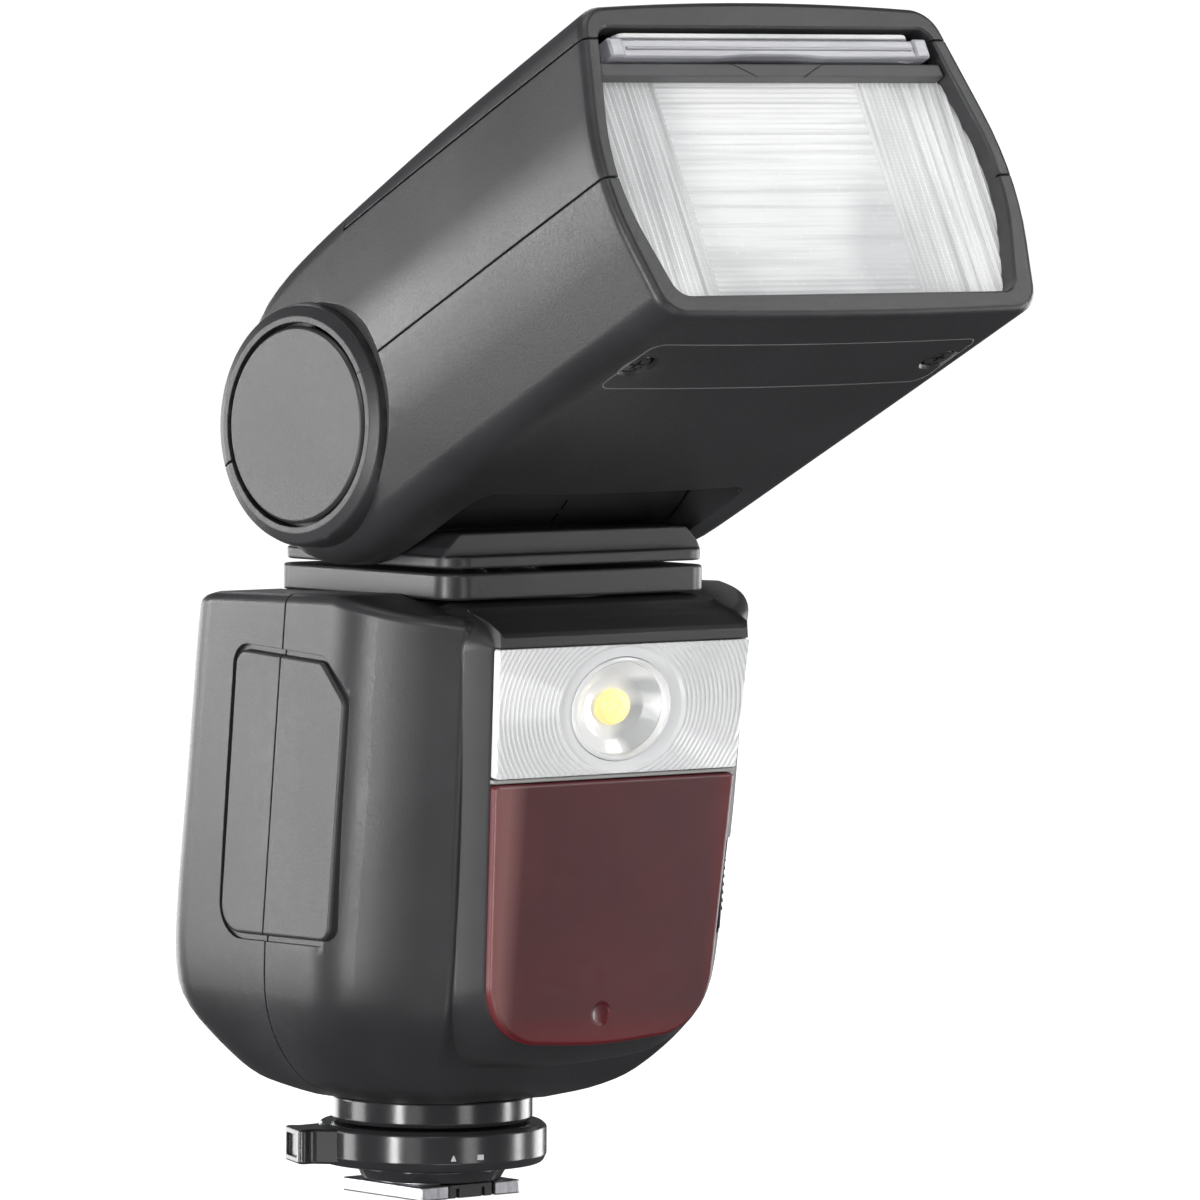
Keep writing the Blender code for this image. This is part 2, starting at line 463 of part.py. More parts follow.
# v, half width at the top, middle, bottom, top, bottom, corner radius
HEAD = [
    (-20.0, 27.5, 30.0, 27.5, 6.5, -6.0, 3.0),
    (-17.5, 30.0, 33.5, 30.5, 12.5, -10.6, 4.0),
    (-12.0, 31.2, 36.0, 32.0, 19.0, -16.4, 5.0),
    (-5.0, 31.8, 37.0, 32.6, 23.0, -19.6, 5.5),
    (3.0, 32.0, 37.5, 33.0, 24.6, -20.4, 5.5),
    (20.0, 32.2, 38.1, 33.6, 25.9, -20.3, 5.5),
    (50.0, 32.4, 38.2, 34.2, 27.1, -20.2, 5.0),
    (75.6, 32.6, HEAD_HALF_WIDTH, 34.4, HEAD_TOP, HEAD_BOTTOM, 5.0),
    (HEAD_LENGTH, 31.8, 37.2, 33.6, 26.8, -19.4, 4.6),
]


def head_outline(v, inset=0.0, steps=2):
    t, m, b, top, bottom, r = between(HEAD, v)
    t, m, b, top, bottom, r = t - inset * 0.9, m - inset, b - inset * 0.9, top - inset, bottom + inset, max(r - inset, 1.0)
    right = [(b, bottom, r), (m - 0.25, bottom * 0.42 + 0.6, 9.0), (m - 0.25, top * 0.38 + 0.4, 9.0), (t, top, r)]
    return rounded(right + [(-x, w, q) for x, w, q in reversed(right)], steps)


def in_head(x, v, w):
    return (x, -v, w)


def head_prism(name, outline, lo, hi, **more):
    """The outline in (x, w), pushed from v = lo to hi."""
    return prism(name, outline, -hi, -lo, "Y", parent=head, **more)


def head_block(name, x, v, w, **more):
    return block(name, x, (-v[1], -v[0]), w, parent=head, **more)


def head_blank(name):
    return loft(name, [[in_head(x, v, w) for x, w in head_outline(v)] for v in [row[0] for row in HEAD]], parent=head)


head_cavity = loft("head_cavity", [[in_head(x, v, w) for x, w in head_outline(v, WALL, 2)] for v in (20.6, 50.0, 75.0)], parent=head)
opening = [(-30.8, -17.0, 2.5), (-34.9, 1.2, 14.0), (-32.2, 17.2, 12.0), (-30.6, 24.4, 1.5)]
head_mouth = head_prism("head_mouth", rounded(opening + [(-x, w, r) for x, w, r in reversed(opening)], 2), 70, 90)
# the barrel turns in this, and the pedestal sweeps the open sector from below round to the upper rear
barrel_room = disc("barrel_room", BARREL_R + 0.5, -BARREL_HALF - 0.5, BARREL_HALF + 0.5, "X", n=32, parent=head)
pedestal_rooms = []
for i, (first, last, reach) in enumerate(((-40.5, -140, 28.4), (-131, -261, 29.9))):
    fan = [(0.1 * i, 0)]
    fan += [(-reach * cos(radians(first + (last - first) * k / 10)), reach * sin(radians(first + (last - first) * k / 10))) for k in range(11)]
    pedestal_rooms.append(prism(f"pedestal_room_{i}", fan, -BARREL_HALF - 0.56 - 0.02 * i, BARREL_HALF + 0.56 + 0.02 * i, "X", parent=head))
cheeks = [disc(f"cheek_room_{side}", 14.4, lo, hi, "X", n=20, parent=head) for side, lo, hi in (("left", -35.0, -27.4), ("right", 27.4, 35.0))]
axle_room = disc("axle_room", 4.4, -33.2, 33.2, "X", n=16, parent=head)
ducts = []
cap_rooms = []
for side, s in (("left", -1), ("right", 1)):
    face = Matrix.Translation((s * CAP_X, 0, 0)) @ Matrix.Rotation(s * radians(90), 4, "Y") @ Matrix.Rotation(radians(4.4), 4, "X")
    cap_rooms.append((side, s, face))

seam_above = head_block("seam_above", (-60, 60), (-60, 90), (HEAD_SEAM - 0.15, 60))
seam_below = head_block("seam_below", (-60, 60), (-60, 90), (-60, HEAD_SEAM + 0.15))
cover_room = head_block("cover_room", (-60, 60), (COVER_REAR - 0.15, 90), (COVER_SEAM - 0.15, 60))
cover_keep = head_block("cover_keep", (-60, 60), (-60, 90), (-60, COVER_SEAM + 0.15))
cover_end = head_block("cover_end", (-60, 60), (-60, COVER_REAR + 0.15), (-60, 60))

cap_cut, bosses = [], []
for side, s, face in cap_rooms:
    bosses.append(turned(f"boss_{side}", [(0, -7.0), (17.6, -7.0), (17.3, -1.6), (16.6, -0.5), (15.6, -0.1), (0, -0.1)], n=32, parent=head, place=face))
    cap_cut.append(turned(f"cap_room_{side}", [(0, -2.0), (CAP_R + 0.5, -2.0), (CAP_R + 0.5, 4), (0, 4)], n=28, parent=head, place=face))
shared = [head_mouth, head_cavity, *pedestal_rooms, barrel_room, axle_room, *cheeks, *cap_cut]
upper = head_blank("head_upper_shell")
join(upper, *bosses, op="UNION", solver="MANIFOLD")
join(upper, *shared, seam_below, cover_room, solver="MANIFOLD")
lower = head_blank("head_lower_shell")
join(lower, *bosses, op="UNION", solver="MANIFOLD")
screw_at = (28.0, 61.8)
screw_rooms = [disc(f"head_screw_room_{side}", 2.6, -30, -19.0, at=(s * screw_at[0], -screw_at[1], 0), n=16, parent=head) for side, s in (("left", -1), ("right", 1))]
join(lower, *shared, seam_above, *screw_rooms, solver="MANIFOLD")
cover = head_blank("head_top_cover")
join(cover, head_mouth, head_cavity, cover_keep, cover_end, solver="MANIFOLD")
for side, s in (("left", -1), ("right", 1)):
    disc(f"head_screw_{side}", 2.2, -20.0, -19.3, at=(s * screw_at[0], -screw_at[1], 0), n=16, look="metal", parent=head)
for side, s, face in cap_rooms:
    turned(f"hinge_cap_{side}", [(0, -1.7), (CAP_R - 0.3, -1.7), (CAP_R, -0.4), (CAP_R - 0.5, 0), (0, 0)], n=32, look="shell", parent=head, place=face)

# the lens stands behind the rim, the tray and its two sheets above it
lens = [(-30.0, -16.9 - 0.6, 2.0), (-35.2, 1.2, 14.0), (-32.0, 17.0, 1.0)]
head_prism("fresnel_lens", rounded(lens + [(-x, w, r) for x, w, r in reversed(lens)], 2), 71.6, 74.6, look="clear")
tray = head_block("panel_tray", (-29.8, 29.8), (27.0, 76.9), (17.6, 19.0), look="grey")
tray_walls = head_block("tray_walls", (-30.2, 30.2), (27.0, 74.0), (18.5, 22.0))
tray_space = head_block("tray_space", (-28.6, 28.6), (28.4, 90.0), (19.0, 30.0))
join(tray, tray_walls, op="UNION")
join(tray, tray_space)
panel = head_block("wide_panel", (-27.8, 27.8), (29.0, 77.0), (19.9, 21.1), look="clear", origin=(0, -77.0, 20.5))
panel_tab = head_block("panel_tab", (-29.4, 29.4), (75.2, 77.5), (19.5, 22.4))
join(panel, panel_tab, op="UNION")
card = head_block("bounce_card", (-27.2, 27.2), (29.0, 77.3), (22.8, 23.5), look="white", origin=(0, -77.0, 23.1))

# zoom drive: a carriage with reflector and tube on a lead screw and a rod
ZV = 44.0
carriage = head_block("zoom_carriage", (-31.0, 31.0), (ZV - 13.0, ZV - 11.4), (-15.6, 8.0), look="grey", origin=(0, -ZV, 0))
nut = head_block("nut_block", (-31.0, -25.6), (ZV - 12.5, ZV - 1.0), (-15.4, -9.8))
slider = head_block("slider_block", (25.6, 31.0), (ZV - 12.5, ZV - 1.0), (-15.4, -9.8))
arms = [head_block(f"arm_{i}", x, (ZV - 12.3, ZV - 2.0), (-12.0, 7.8)) for i, x in enumerate(((-27.4, -25.0), (25.0, 27.4)))]
join(carriage, nut, slider, *arms, op="UNION")
SCREW_X, SCREW_W = 28.4, -12.8
join(
    carriage,
    disc("nut_bore", 1.8, -90, 0, "Y", at=(-SCREW_X, 0, SCREW_W), n=12, parent=head),
    disc("slider_bore", 1.6, -90, 0, "Y", at=(SCREW_X, 0, SCREW_W), n=12, parent=head),
)
trough = []
for k in range(9):
    a = radians(-80 + 20 * k)
    trough.append((-9.0 + 13.2 * (1 - cos(a)), 11.0 * sin(a)))
inner = [(ZV + v, w) for v, w in trough]
outer = [(ZV + v - 0.9 * cos(radians(-80 + 20 * k)), w + 0.9 * sin(radians(-80 + 20 * k)) * 1.1) for k, (v, w) in enumerate(trough)]
reflector_outline = [(-v, w) for v, w in inner + outer[::-1]]
reflector = prism("flash_reflector", reflector_outline, -24.2, 24.2, "X", look="metal", parent=head, origin=(0, -ZV, 0))
disc("flash_tube", 2.2, -24.6, 24.6, "X", at=(0, -(ZV - 5.4), 0), n=16, look="clear", parent=head, origin=(0, -ZV, 0))
disc("lead_screw", 1.45, -71.0, -30.0, "Y", at=(-SCREW_X, 0, SCREW_W), n=12, look="metal", parent=head, origin=(-SCREW_X, -30.0, SCREW_W))
disc("guide_rod", 1.25, -71.0, -21.0, "Y", at=(SCREW_X, 0, SCREW_W), n=12, look="metal", parent=head)
disc("zoom_motor", 3.2, -29.6, -21.0, "Y", at=(-SCREW_X, 0, SCREW_W), n=16, look="metal", parent=head)
head_block("head_board", (-20, 20), (28, 66), (-17.6, -16.4), look="board")
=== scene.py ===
"""Looks of the speedlight flash: fine shells, windows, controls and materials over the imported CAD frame."""

from math import atan, atan2, cos, degrees, pi, radians, sin, sqrt, tan

import bmesh
import bpy
from mathutils import Matrix, Vector


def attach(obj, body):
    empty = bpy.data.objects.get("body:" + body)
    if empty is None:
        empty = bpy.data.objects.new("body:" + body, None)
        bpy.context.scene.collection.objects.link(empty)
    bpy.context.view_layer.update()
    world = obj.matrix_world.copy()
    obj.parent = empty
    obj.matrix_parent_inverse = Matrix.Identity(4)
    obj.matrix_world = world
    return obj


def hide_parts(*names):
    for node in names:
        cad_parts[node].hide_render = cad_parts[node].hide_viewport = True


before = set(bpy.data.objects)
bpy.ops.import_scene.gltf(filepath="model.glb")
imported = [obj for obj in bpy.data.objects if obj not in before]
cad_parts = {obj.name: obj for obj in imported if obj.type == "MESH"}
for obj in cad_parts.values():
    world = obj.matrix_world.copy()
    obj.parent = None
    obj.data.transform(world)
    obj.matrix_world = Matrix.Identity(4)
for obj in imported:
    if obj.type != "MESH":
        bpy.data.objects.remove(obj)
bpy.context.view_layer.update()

S = 0.001  # every number below is in millimetres, in the CAD's frame
scene = bpy.context.scene
HEAD_FRAME = Matrix.Translation((0, -14.8, 114.0)) @ Matrix.Rotation(-radians(27), 4, "X")
SWIVEL_Y, COLLAR_TOP = -13.5, 93.0
YOKE_FRAME = Matrix.Translation((0, SWIVEL_Y, COLLAR_TOP))
HINGE = (0, -1.3, 21.0)  # the hinge axis in the yoke's frame
PANEL_FRONT, PANEL_TOP, LEAN = -43.9, 82.7, 0.098
REAR_SLOPE = atan(0.12)
REAR = Matrix.Translation((0, 14.7, 84.0)) @ Matrix(((1, 0, 0, 0), (0, -sin(REAR_SLOPE), cos(REAR_SLOPE), 0), (0, cos(REAR_SLOPE), sin(REAR_SLOPE), 0), (0, 0, 0, 1)))


def front_y(z):
    return PANEL_FRONT + LEAN * (PANEL_TOP - z)


# x, depth behind the front face, height along the leaning face from the lamp's centre
WINDOW = Matrix.Translation((0, front_y(73.4), 73.4)) @ Matrix.Rotation(atan(LEAN), 4, "X")


# ---------------------------------------------------------------- mesh helpers
def mesh(name, points, faces, place=None):
    data = bpy.data.meshes.new(name)
    place = place or Matrix.Identity(4)
    data.from_pydata([(place @ Vector(p)) * S for p in points], [], faces)
    shape = bmesh.new()
    shape.from_mesh(data)
    bmesh.ops.remove_doubles(shape, verts=shape.verts, dist=1e-7)
    bmesh.ops.recalc_face_normals(shape, faces=shape.faces)
    if shape.calc_volume(signed=True) < 0:
        bmesh.ops.reverse_faces(shape, faces=shape.faces)
    shape.to_mesh(data)
    shape.free()
    made = bpy.data.objects.new(name, data)
    scene.collection.objects.link(made)
    return made


def carve(target, unite=(), cut=(), keep=()):
    """Unites, then cuts, then keeps only what is inside; the tools are used up."""
    tools = [(t, "UNION") for t in unite] + [(t, "DIFFERENCE") for t in cut] + [(t, "INTERSECT") for t in keep]
    for tool, op in tools:
        m = target.modifiers.new(tool.name, "BOOLEAN")
        m.operation, m.solver, m.object = op, "MANIFOLD", tool
    graph = bpy.context.evaluated_depsgraph_get()
    data = bpy.data.meshes.new_from_object(target.evaluated_get(graph))
    target.modifiers.clear()
    if len(data.polygons) == 0:
        raise RuntimeError(f"{target.name}: the cuts left nothing")
    old = target.data
    target.data = data
    bpy.data.meshes.remove(old)
    for tool in {t for t, _ in tools}:
        bpy.data.meshes.remove(tool.data)
    return target


def copy_of(source, name):
    made = bpy.data.objects.new(name, source.data.copy())
    scene.collection.objects.link(made)
    return made


def rounded(corners, steps=6):
    """A closed outline through the corners (x, y, radius); an arc never takes more than its share of a side."""
    out = []
    n = len(corners)
    for i, (x, y, r) in enumerate(corners):
        p = Vector((x, y))
        one, two = Vector(corners[i - 1][:2]) - p, Vector(corners[(i + 1) % n][:2]) - p
        a, b = one.normalized(), two.normalized()
        half = a.angle(b) / 2
        if half > radians(89.5) or r <= 0:
            out += [(x, y)] * (steps + 1) if r > 0 else [(x, y)]
            continue
        r = min(r, 0.49 * min(one.length, two.length) * tan(half))
        centre = p + (a + b).normalized() * r / sin(half)
        start, end = p + a * r / tan(half) - centre, p + b * r / tan(half) - centre
        turn = start.angle_signed(end)
        for k in range(steps + 1):
            out.append(tuple(centre + Matrix.Rotation(-turn * k / steps, 2) @ start))
    return out


def inset(corners, d):
    """The corners moved so that every side goes in by d (out, if d is negative)."""
    n = len(corners)
    area = sum(corners[i - 1][0] * corners[i][1] - corners[i][0] * corners[i - 1][1] for i in range(n))
    sign = 1 if area > 0 else -1
    out = []
    for i, (x, y, r) in enumerate(corners):
        a, b = Vector(corners[i - 1][:2]), Vector((x, y))
        c = Vector(corners[(i + 1) % n][:2])
        e, f = (b - a).normalized(), (c - b).normalized()
        ne, nf = Vector((-e.y, e.x)) * sign, Vector((-f.y, f.x)) * sign
        bis = (ne + nf).normalized()
        step = d / max(bis.dot(ne), 0.3)
        out.append((x + bis.x * step, y + bis.y * step, max(r - d, 0.08) if r > 0 else 0))
    return out


TURN = {"Z": lambda a, b, h: (a, b, h), "Y": lambda a, b, h: (a, h, b), "X": lambda a, b, h: (h, a, b)}


def loft(name, sections, place=None, strips=False):
    n, m = len(sections[0]), len(sections)
    points = [p for s in sections for p in s]
    faces = [tuple(range(n))]
    for k in range(m - 1):
        faces += [(k * n + i, k * n + (i + 1) % n, (k + 1) * n + (i + 1) % n, (k + 1) * n + i) for i in range(n)]
    last = (m - 1) * n
    if strips:
        faces += [(last + i, last + i + 1, last + n - 2 - i, last + n - 1 - i) for i in range(n // 2 - 1)]
    else:
        faces.append(tuple(range(last, last + n)))
    return mesh(name, points, faces, place)


def pillow(name, corners, lo, hi, edge=0.3, axis="Z", place=None, steps=6, arc=4, low_edge=None):
    """The outline pushed from lo to hi with rounded edges at both ends."""
    low_edge = edge if low_edge is None else low_edge
    rows = []
    if low_edge > 0:
        rows += [(lo + low_edge * (1 - cos(radians(90 * k / arc))), low_edge * (1 - sin(radians(90 * k / arc)))) for k in range(arc + 1)]
    elif low_edge < 0:  # flared outwards
        rows += [(lo, low_edge), (lo - low_edge, 0)]
    else:
        rows.append((lo, 0))
    if edge > 0:
        rows += [(hi - edge * (1 - cos(radians(90 * k / arc))), edge * (1 - sin(radians(90 * k / arc)))) for k in range(arc, -1, -1)]
    elif edge < 0:
        rows += [(hi + edge, 0), (hi, edge)]
    else:
        rows.append((hi, 0))
    sections = [[TURN[axis](a, b, h) for a, b in rounded(inset(corners, d), steps)] for h, d in rows]
    return loft(name, sections, place)


def rect(x0, x1, y0, y1, r):
    return [(x0, y0, r), (x1, y0, r), (x1, y1, r), (x0, y1, r)]


def block(name, x, y, z, edge=0.0, r=0.0, place=None):
    return pillow(name, rect(x[0], x[1], y[0], y[1], r), z[0], z[1], edge, "Z", place)


def fillet(profile, steps=4, closed=False):
    """(radius, height, rounding) corners as a line of (radius, height)."""
    out, n = [], len(profile)
    for i, (x, y, r) in enumerate(profile):
        if r <= 0 or (not closed and i in (0, n - 1)):
            out.append((x, y))
            continue
        p = Vector((x, y))
        one, two = Vector(profile[i - 1][:2]) - p, Vector(profile[(i + 1) % n][:2]) - p
        a, b = one.normalized(), two.normalized()
        half = a.angle(b) / 2
        if half > radians(89):
            out.append((x, y))
            continue
        r = min(r, 0.49 * min(one.length, two.length) * tan(half))
        centre = p + (a + b).normalized() * r / sin(half)
        start, end = p + a * r / tan(half) - centre, p + b * r / tan(half) - centre
        turn = start.angle_signed(end)
        out += [tuple(centre + Matrix.Rotation(-turn * k / steps, 2) @ start) for k in range(steps + 1)]
    return out


def lathe(name, profile, axis="Z", at=(0, 0, 0), n=64, place=None, stretch=(1, 1), steps=4):
    closed = profile[0][0] > 0
    line = fillet([p if len(p) == 3 else (*p, 0) for p in profile], steps, closed)
    at = Vector(at)
    points, rings = [], []
    for r, h in line:
        if r == 0:
            rings.append([len(points)] * n)
            points.append(at + Vector(TURN[axis](0, 0, h)))
        else:
            rings.append(list(range(len(points), len(points) + n)))
            points += [at + Vector(TURN[axis](r * stretch[0] * cos(2 * pi * k / n), r * stretch[1] * sin(2 * pi * k / n), h)) for k in range(n)]
    faces = []
    for i in range(len(rings) if closed else len(rings) - 1):
        a, b = rings[i], rings[(i + 1) % len(rings)]
        for k in range(n):
            face = []
            for v in (a[k], a[(k + 1) % n], b[(k + 1) % n], b[k]):
                if v not in face:
                    face.append(v)
            if len(face) > 2:
                faces.append(tuple(face))
    return mesh(name, points, faces, place)


def disc(name, r, lo, hi, axis="Z", at=(0, 0, 0), n=48, place=None, edge=0.0, low_edge=None):
    low = edge if low_edge is None else low_edge
    return lathe(name, [(0, lo), (r, lo, low), (r, hi, edge), (0, hi)], axis, at, n, place)


def smooth_read(table, z):
    """The table's row at z on a smooth curve that never overshoots its points."""
    if z <= table[0][0]:
        return list(table[0][1:])
    if z >= table[-1][0]:
        return list(table[-1][1:])
    i = next(k for k in range(len(table) - 1) if z <= table[k + 1][0])
    h = table[i + 1][0] - table[i][0]
    t = (z - table[i][0]) / h
    out = []
    for c in range(1, len(table[0])):
        def slope(k):
            return (table[k + 1][c] - table[k][c]) / (table[k + 1][0] - table[k][0])

        def tangent(k):
            if k == 0:
                return slope(0)
            if k == len(table) - 1:
                return slope(k - 1)
            a, b = slope(k - 1), slope(k)
            return 0.0 if a * b <= 0 else 2 * a * b / (a + b)

        p, q = table[i][c], table[i + 1][c]
        m, n = tangent(i) * h, tangent(i + 1) * h
        out.append(p * (2 * t**3 - 3 * t**2 + 1) + m * (t**3 - 2 * t**2 + t) + q * (3 * t**2 - 2 * t**3) + n * (t**3 - t**2))
    return out


# ---------------------------------------------------------------- materials
class Nodes:
    """A short way to build a procedural material."""

    def __init__(self, name):
        self.made = bpy.data.materials.new(name)
        self.made.use_nodes = True
        self.tree = self.made.node_tree
        self.tree.nodes.clear()
        self.out = self.add("ShaderNodeOutputMaterial")
        self.coords = self.add("ShaderNodeTexCoord").outputs["Object"]

    def add(self, kind, **values):
        node = self.tree.nodes.new(kind)
        for key, value in values.items():
            setattr(node, key, value)
        return node

    def link(self, a, b):
        self.tree.links.new(a, b)

    def noise(self, scale, detail=2.0, rough=0.5, squash=None):
        node = self.add("ShaderNodeTexNoise")
        node.inputs["Scale"].default_value = scale
        node.inputs["Detail"].default_value = detail
        node.inputs["Roughness"].default_value = rough
        source = self.coords
        if squash:
            mapping = self.add("ShaderNodeMapping")
            mapping.inputs["Scale"].default_value = squash
            self.link(source, mapping.inputs["Vector"])
            source = mapping.outputs["Vector"]
        self.link(source, node.inputs["Vector"])
        return node.outputs["Fac"]

    def ramp(self, source, stops):
        node = self.add("ShaderNodeValToRGB")
        band = node.color_ramp
        while len(band.elements) < len(stops):
            band.elements.new(0.5)
        for element, (place, colour) in zip(band.elements, stops):
            element.position = place
            element.color = (*colour, 1) if len(colour) == 3 else colour
        self.link(source, node.inputs["Fac"])
        return node.outputs["Color"]

    def spread(self, source, low, high, a=0.0, b=1.0):
        node = self.add("ShaderNodeMapRange")
        for key, value in (("From Min", a), ("From Max", b), ("To Min", low), ("To Max", high)):
            node.inputs[key].default_value = value
        self.link(source, node.inputs["Value"])
        return node.outputs["Result"]

    def maths(self, op, a, b=None):
        node = self.add("ShaderNodeMath", operation=op)
        for i, value in enumerate((a, b)):
            if value is None:
                continue
            if isinstance(value, (int, float)):
                node.inputs[i].default_value = value
            else:
                self.link(value, node.inputs[i])
        return node.outputs[0]

    def mix(self, factor, a, b, blend="MIX"):
        node = self.add("ShaderNodeMix", data_type="RGBA", blend_type=blend)
        for socket, value in ((node.inputs["Factor"], factor), (node.inputs[6], a), (node.inputs[7], b)):
            if isinstance(value, (int, float)):
                socket.default_value = value
            elif isinstance(value, tuple):
                socket.default_value = (*value, 1)
            else:
                self.link(value, socket)
        return node.outputs[2]

    def bump(self, height, strength, distance, soft=0.0, under=None):
        node = self.add("ShaderNodeBump")
        node.inputs["Strength"].default_value = strength
        node.inputs["Distance"].default_value = distance
        self.link(height, node.inputs["Height"])
        if under is not None:
            self.link(under, node.inputs["Normal"])
        elif soft > 0:
            bevel = self.add("ShaderNodeBevel", samples=4)
            bevel.inputs["Radius"].default_value = soft
            self.link(bevel.outputs["Normal"], node.inputs["Normal"])
        return node.outputs["Normal"]

    def principled(self, colour, rough, normal=None, **values):
        node = self.add("ShaderNodeBsdfPrincipled")
        for key, value in (("Base Color", colour), ("Roughness", rough)):
            if isinstance(value, (int, float)):
                node.inputs[key].default_value = value
            elif isinstance(value, tuple):
                node.inputs[key].default_value = (*value, 1)
            else:
                self.link(value, node.inputs[key])
        if normal is not None:
            self.link(normal, node.inputs["Normal"])
        for key, value in values.items():
            node.inputs[key.replace("_", " ")].default_value = value
        self.link(node.outputs[0], self.out.inputs[0])
        return node


def moulded(name, colour, rough=0.42, grain=2600.0, depth=0.00003, wear=0.5, soft=0.00022, coat=0.0, specular=0.5, spread=0.06):
    """Moulded plastic: fine spark grain, faint mottling, paler worn edges, roughness that follows the grain."""
    m = Nodes(name)
    fine = m.noise(grain, 3.0, 0.62)
    broad = m.noise(38.0, 3.0, 0.55)
    dark = tuple(c * 0.86 for c in colour)
    light = tuple(min(1, c * 1.16) for c in colour)
    tone = m.mix(m.spread(broad, 0, 1, 0.35, 0.65), dark, light)
    edge = m.spread(m.add("ShaderNodeNewGeometry").outputs["Pointiness"], 0, wear, 0.53, 0.62)
    scuff = m.maths("MULTIPLY", edge, m.spread(m.noise(320.0, 4.0, 0.7), 0.2, 1.0, 0.4, 0.65))
    tone = m.mix(scuff, tone, tuple(min(1, c * 2.2 + 0.03) for c in colour))
    r = m.maths("ADD", m.spread(fine, rough - spread, rough + spread, 0.3, 0.7), m.spread(broad, -0.025, 0.025, 0.35, 0.65))
    normal = m.bump(fine, 0.55, depth, soft)
    m.principled(tone, r, normal, Specular_IOR_Level=specular, Coat_Weight=coat, Coat_Roughness=0.2)
    return m.made


def brushed(name, colour, rough=0.28, squash=(1, 1, 14), scale=420.0, metallic=1.0, soft=0.00012):
    m = Nodes(name)
    lines = m.noise(scale, 4.0, 0.65, squash)
    broad = m.noise(60.0, 2.0)
    tone = m.mix(m.spread(lines, 0, 1, 0.3, 0.7), tuple(c * 0.78 for c in colour), tuple(min(1, c * 1.1) for c in colour))
    r = m.maths("ADD", m.spread(lines, rough - 0.07, rough + 0.09, 0.3, 0.7), m.spread(broad, -0.03, 0.03, 0.3, 0.7))
    m.principled(tone, r, m.bump(lines, 0.3, 0.00002, soft), Metallic=metallic)
    return m.made


def lens_white():
    """Clear ribbed plastic over a bright chamber: pale, with soft grey clouds, painted shade in darker lines along the
    ribs, a painted glow and a clear top layer.
    """
    m = Nodes("ribbed_lens")
    clouds = m.noise(30.0, 2.0, 0.4, (1.0, 0.7, 0.7))
    fine = m.noise(900.0, 2.0, 0.5)
    tone = m.ramp(clouds, [(0.36, (0.66, 0.665, 0.67)), (0.46, (0.86, 0.865, 0.865)), (0.56, (0.98, 0.98, 0.975))])
    tone = m.mix(m.spread(fine, 0.0, 0.06, 0.35, 0.7), tone, (0.8, 0.8, 0.8))
    # painted shade: darker lines along the ribs, upright at the sides and level in the middle
    upright = m.noise(900.0, 2.0, 0.5, (1.0, 0.03, 0.03))
    level = m.noise(900.0, 2.0, 0.5, (0.02, 1.0, 1.0))
    split = m.add("ShaderNodeSeparateXYZ")
    m.link(m.coords, split.inputs[0])
    side = m.maths("MAXIMUM", m.spread(split.outputs["X"], 1, 0, -0.0206, -0.0204), m.spread(split.outputs["X"], 0, 1, 0.0164, 0.0166))
    middle = m.mix(m.spread(level, 0.35, 0, 0.38, 0.52), tone, (0.50, 0.505, 0.51))
    tone = m.mix(side, middle, m.mix(m.spread(upright, 0.55, 0, 0.38, 0.54), tone, (0.40, 0.405, 0.41)))
    normal = m.bump(fine, 0.05, 0.00001)
    node = m.principled(tone, m.spread(fine, 0.16, 0.28, 0.3, 0.7), normal, IOR=1.49, Coat_Weight=0.6, Coat_Roughness=0.06, Emission_Strength=0.24)
    m.link(tone, node.inputs["Emission Color"])  # painted glow, standing in for light sent back by the mirrored chamber behind
    return m.made


def clear_plastic(name, tint=(0.93, 0.94, 0.96), milky=0.35, rough=0.08):
    m = Nodes(name)
    fine = m.noise(700.0, 3.0, 0.6)
    streak = m.noise(420.0, 3.0, 0.6, (0.12, 1.0, 1.0))
    tone = m.mix(m.spread(streak, 0, 1, 0.35, 0.65), tuple(c * 0.72 for c in tint), tint)
    m.principled(tone, m.spread(fine, rough * 0.7, rough * 1.5, 0.3, 0.7), m.bump(fine, 0.12, 0.00002), Transmission_Weight=1 - milky, IOR=1.49, Coat_Weight=0.3, Coat_Roughness=0.05)
    return m.made


def lamp_plate():
    """Frosted clear plate of the modelling lamp, with pale crests on its rings."""
    m = Nodes("lamp_plate")
    fine = m.noise(900.0, 3.0, 0.6)
    broad = m.noise(45.0, 2.0, 0.5)
    tone = m.mix(m.spread(broad, 0, 1, 0.35, 0.65), (0.84, 0.845, 0.85), (0.96, 0.96, 0.96))
    m.principled(tone, m.spread(fine, 0.18, 0.26, 0.3, 0.7), m.bump(fine, 0.05, 0.00001), IOR=1.49, Coat_Weight=0.5, Coat_Roughness=0.08)
    return m.made


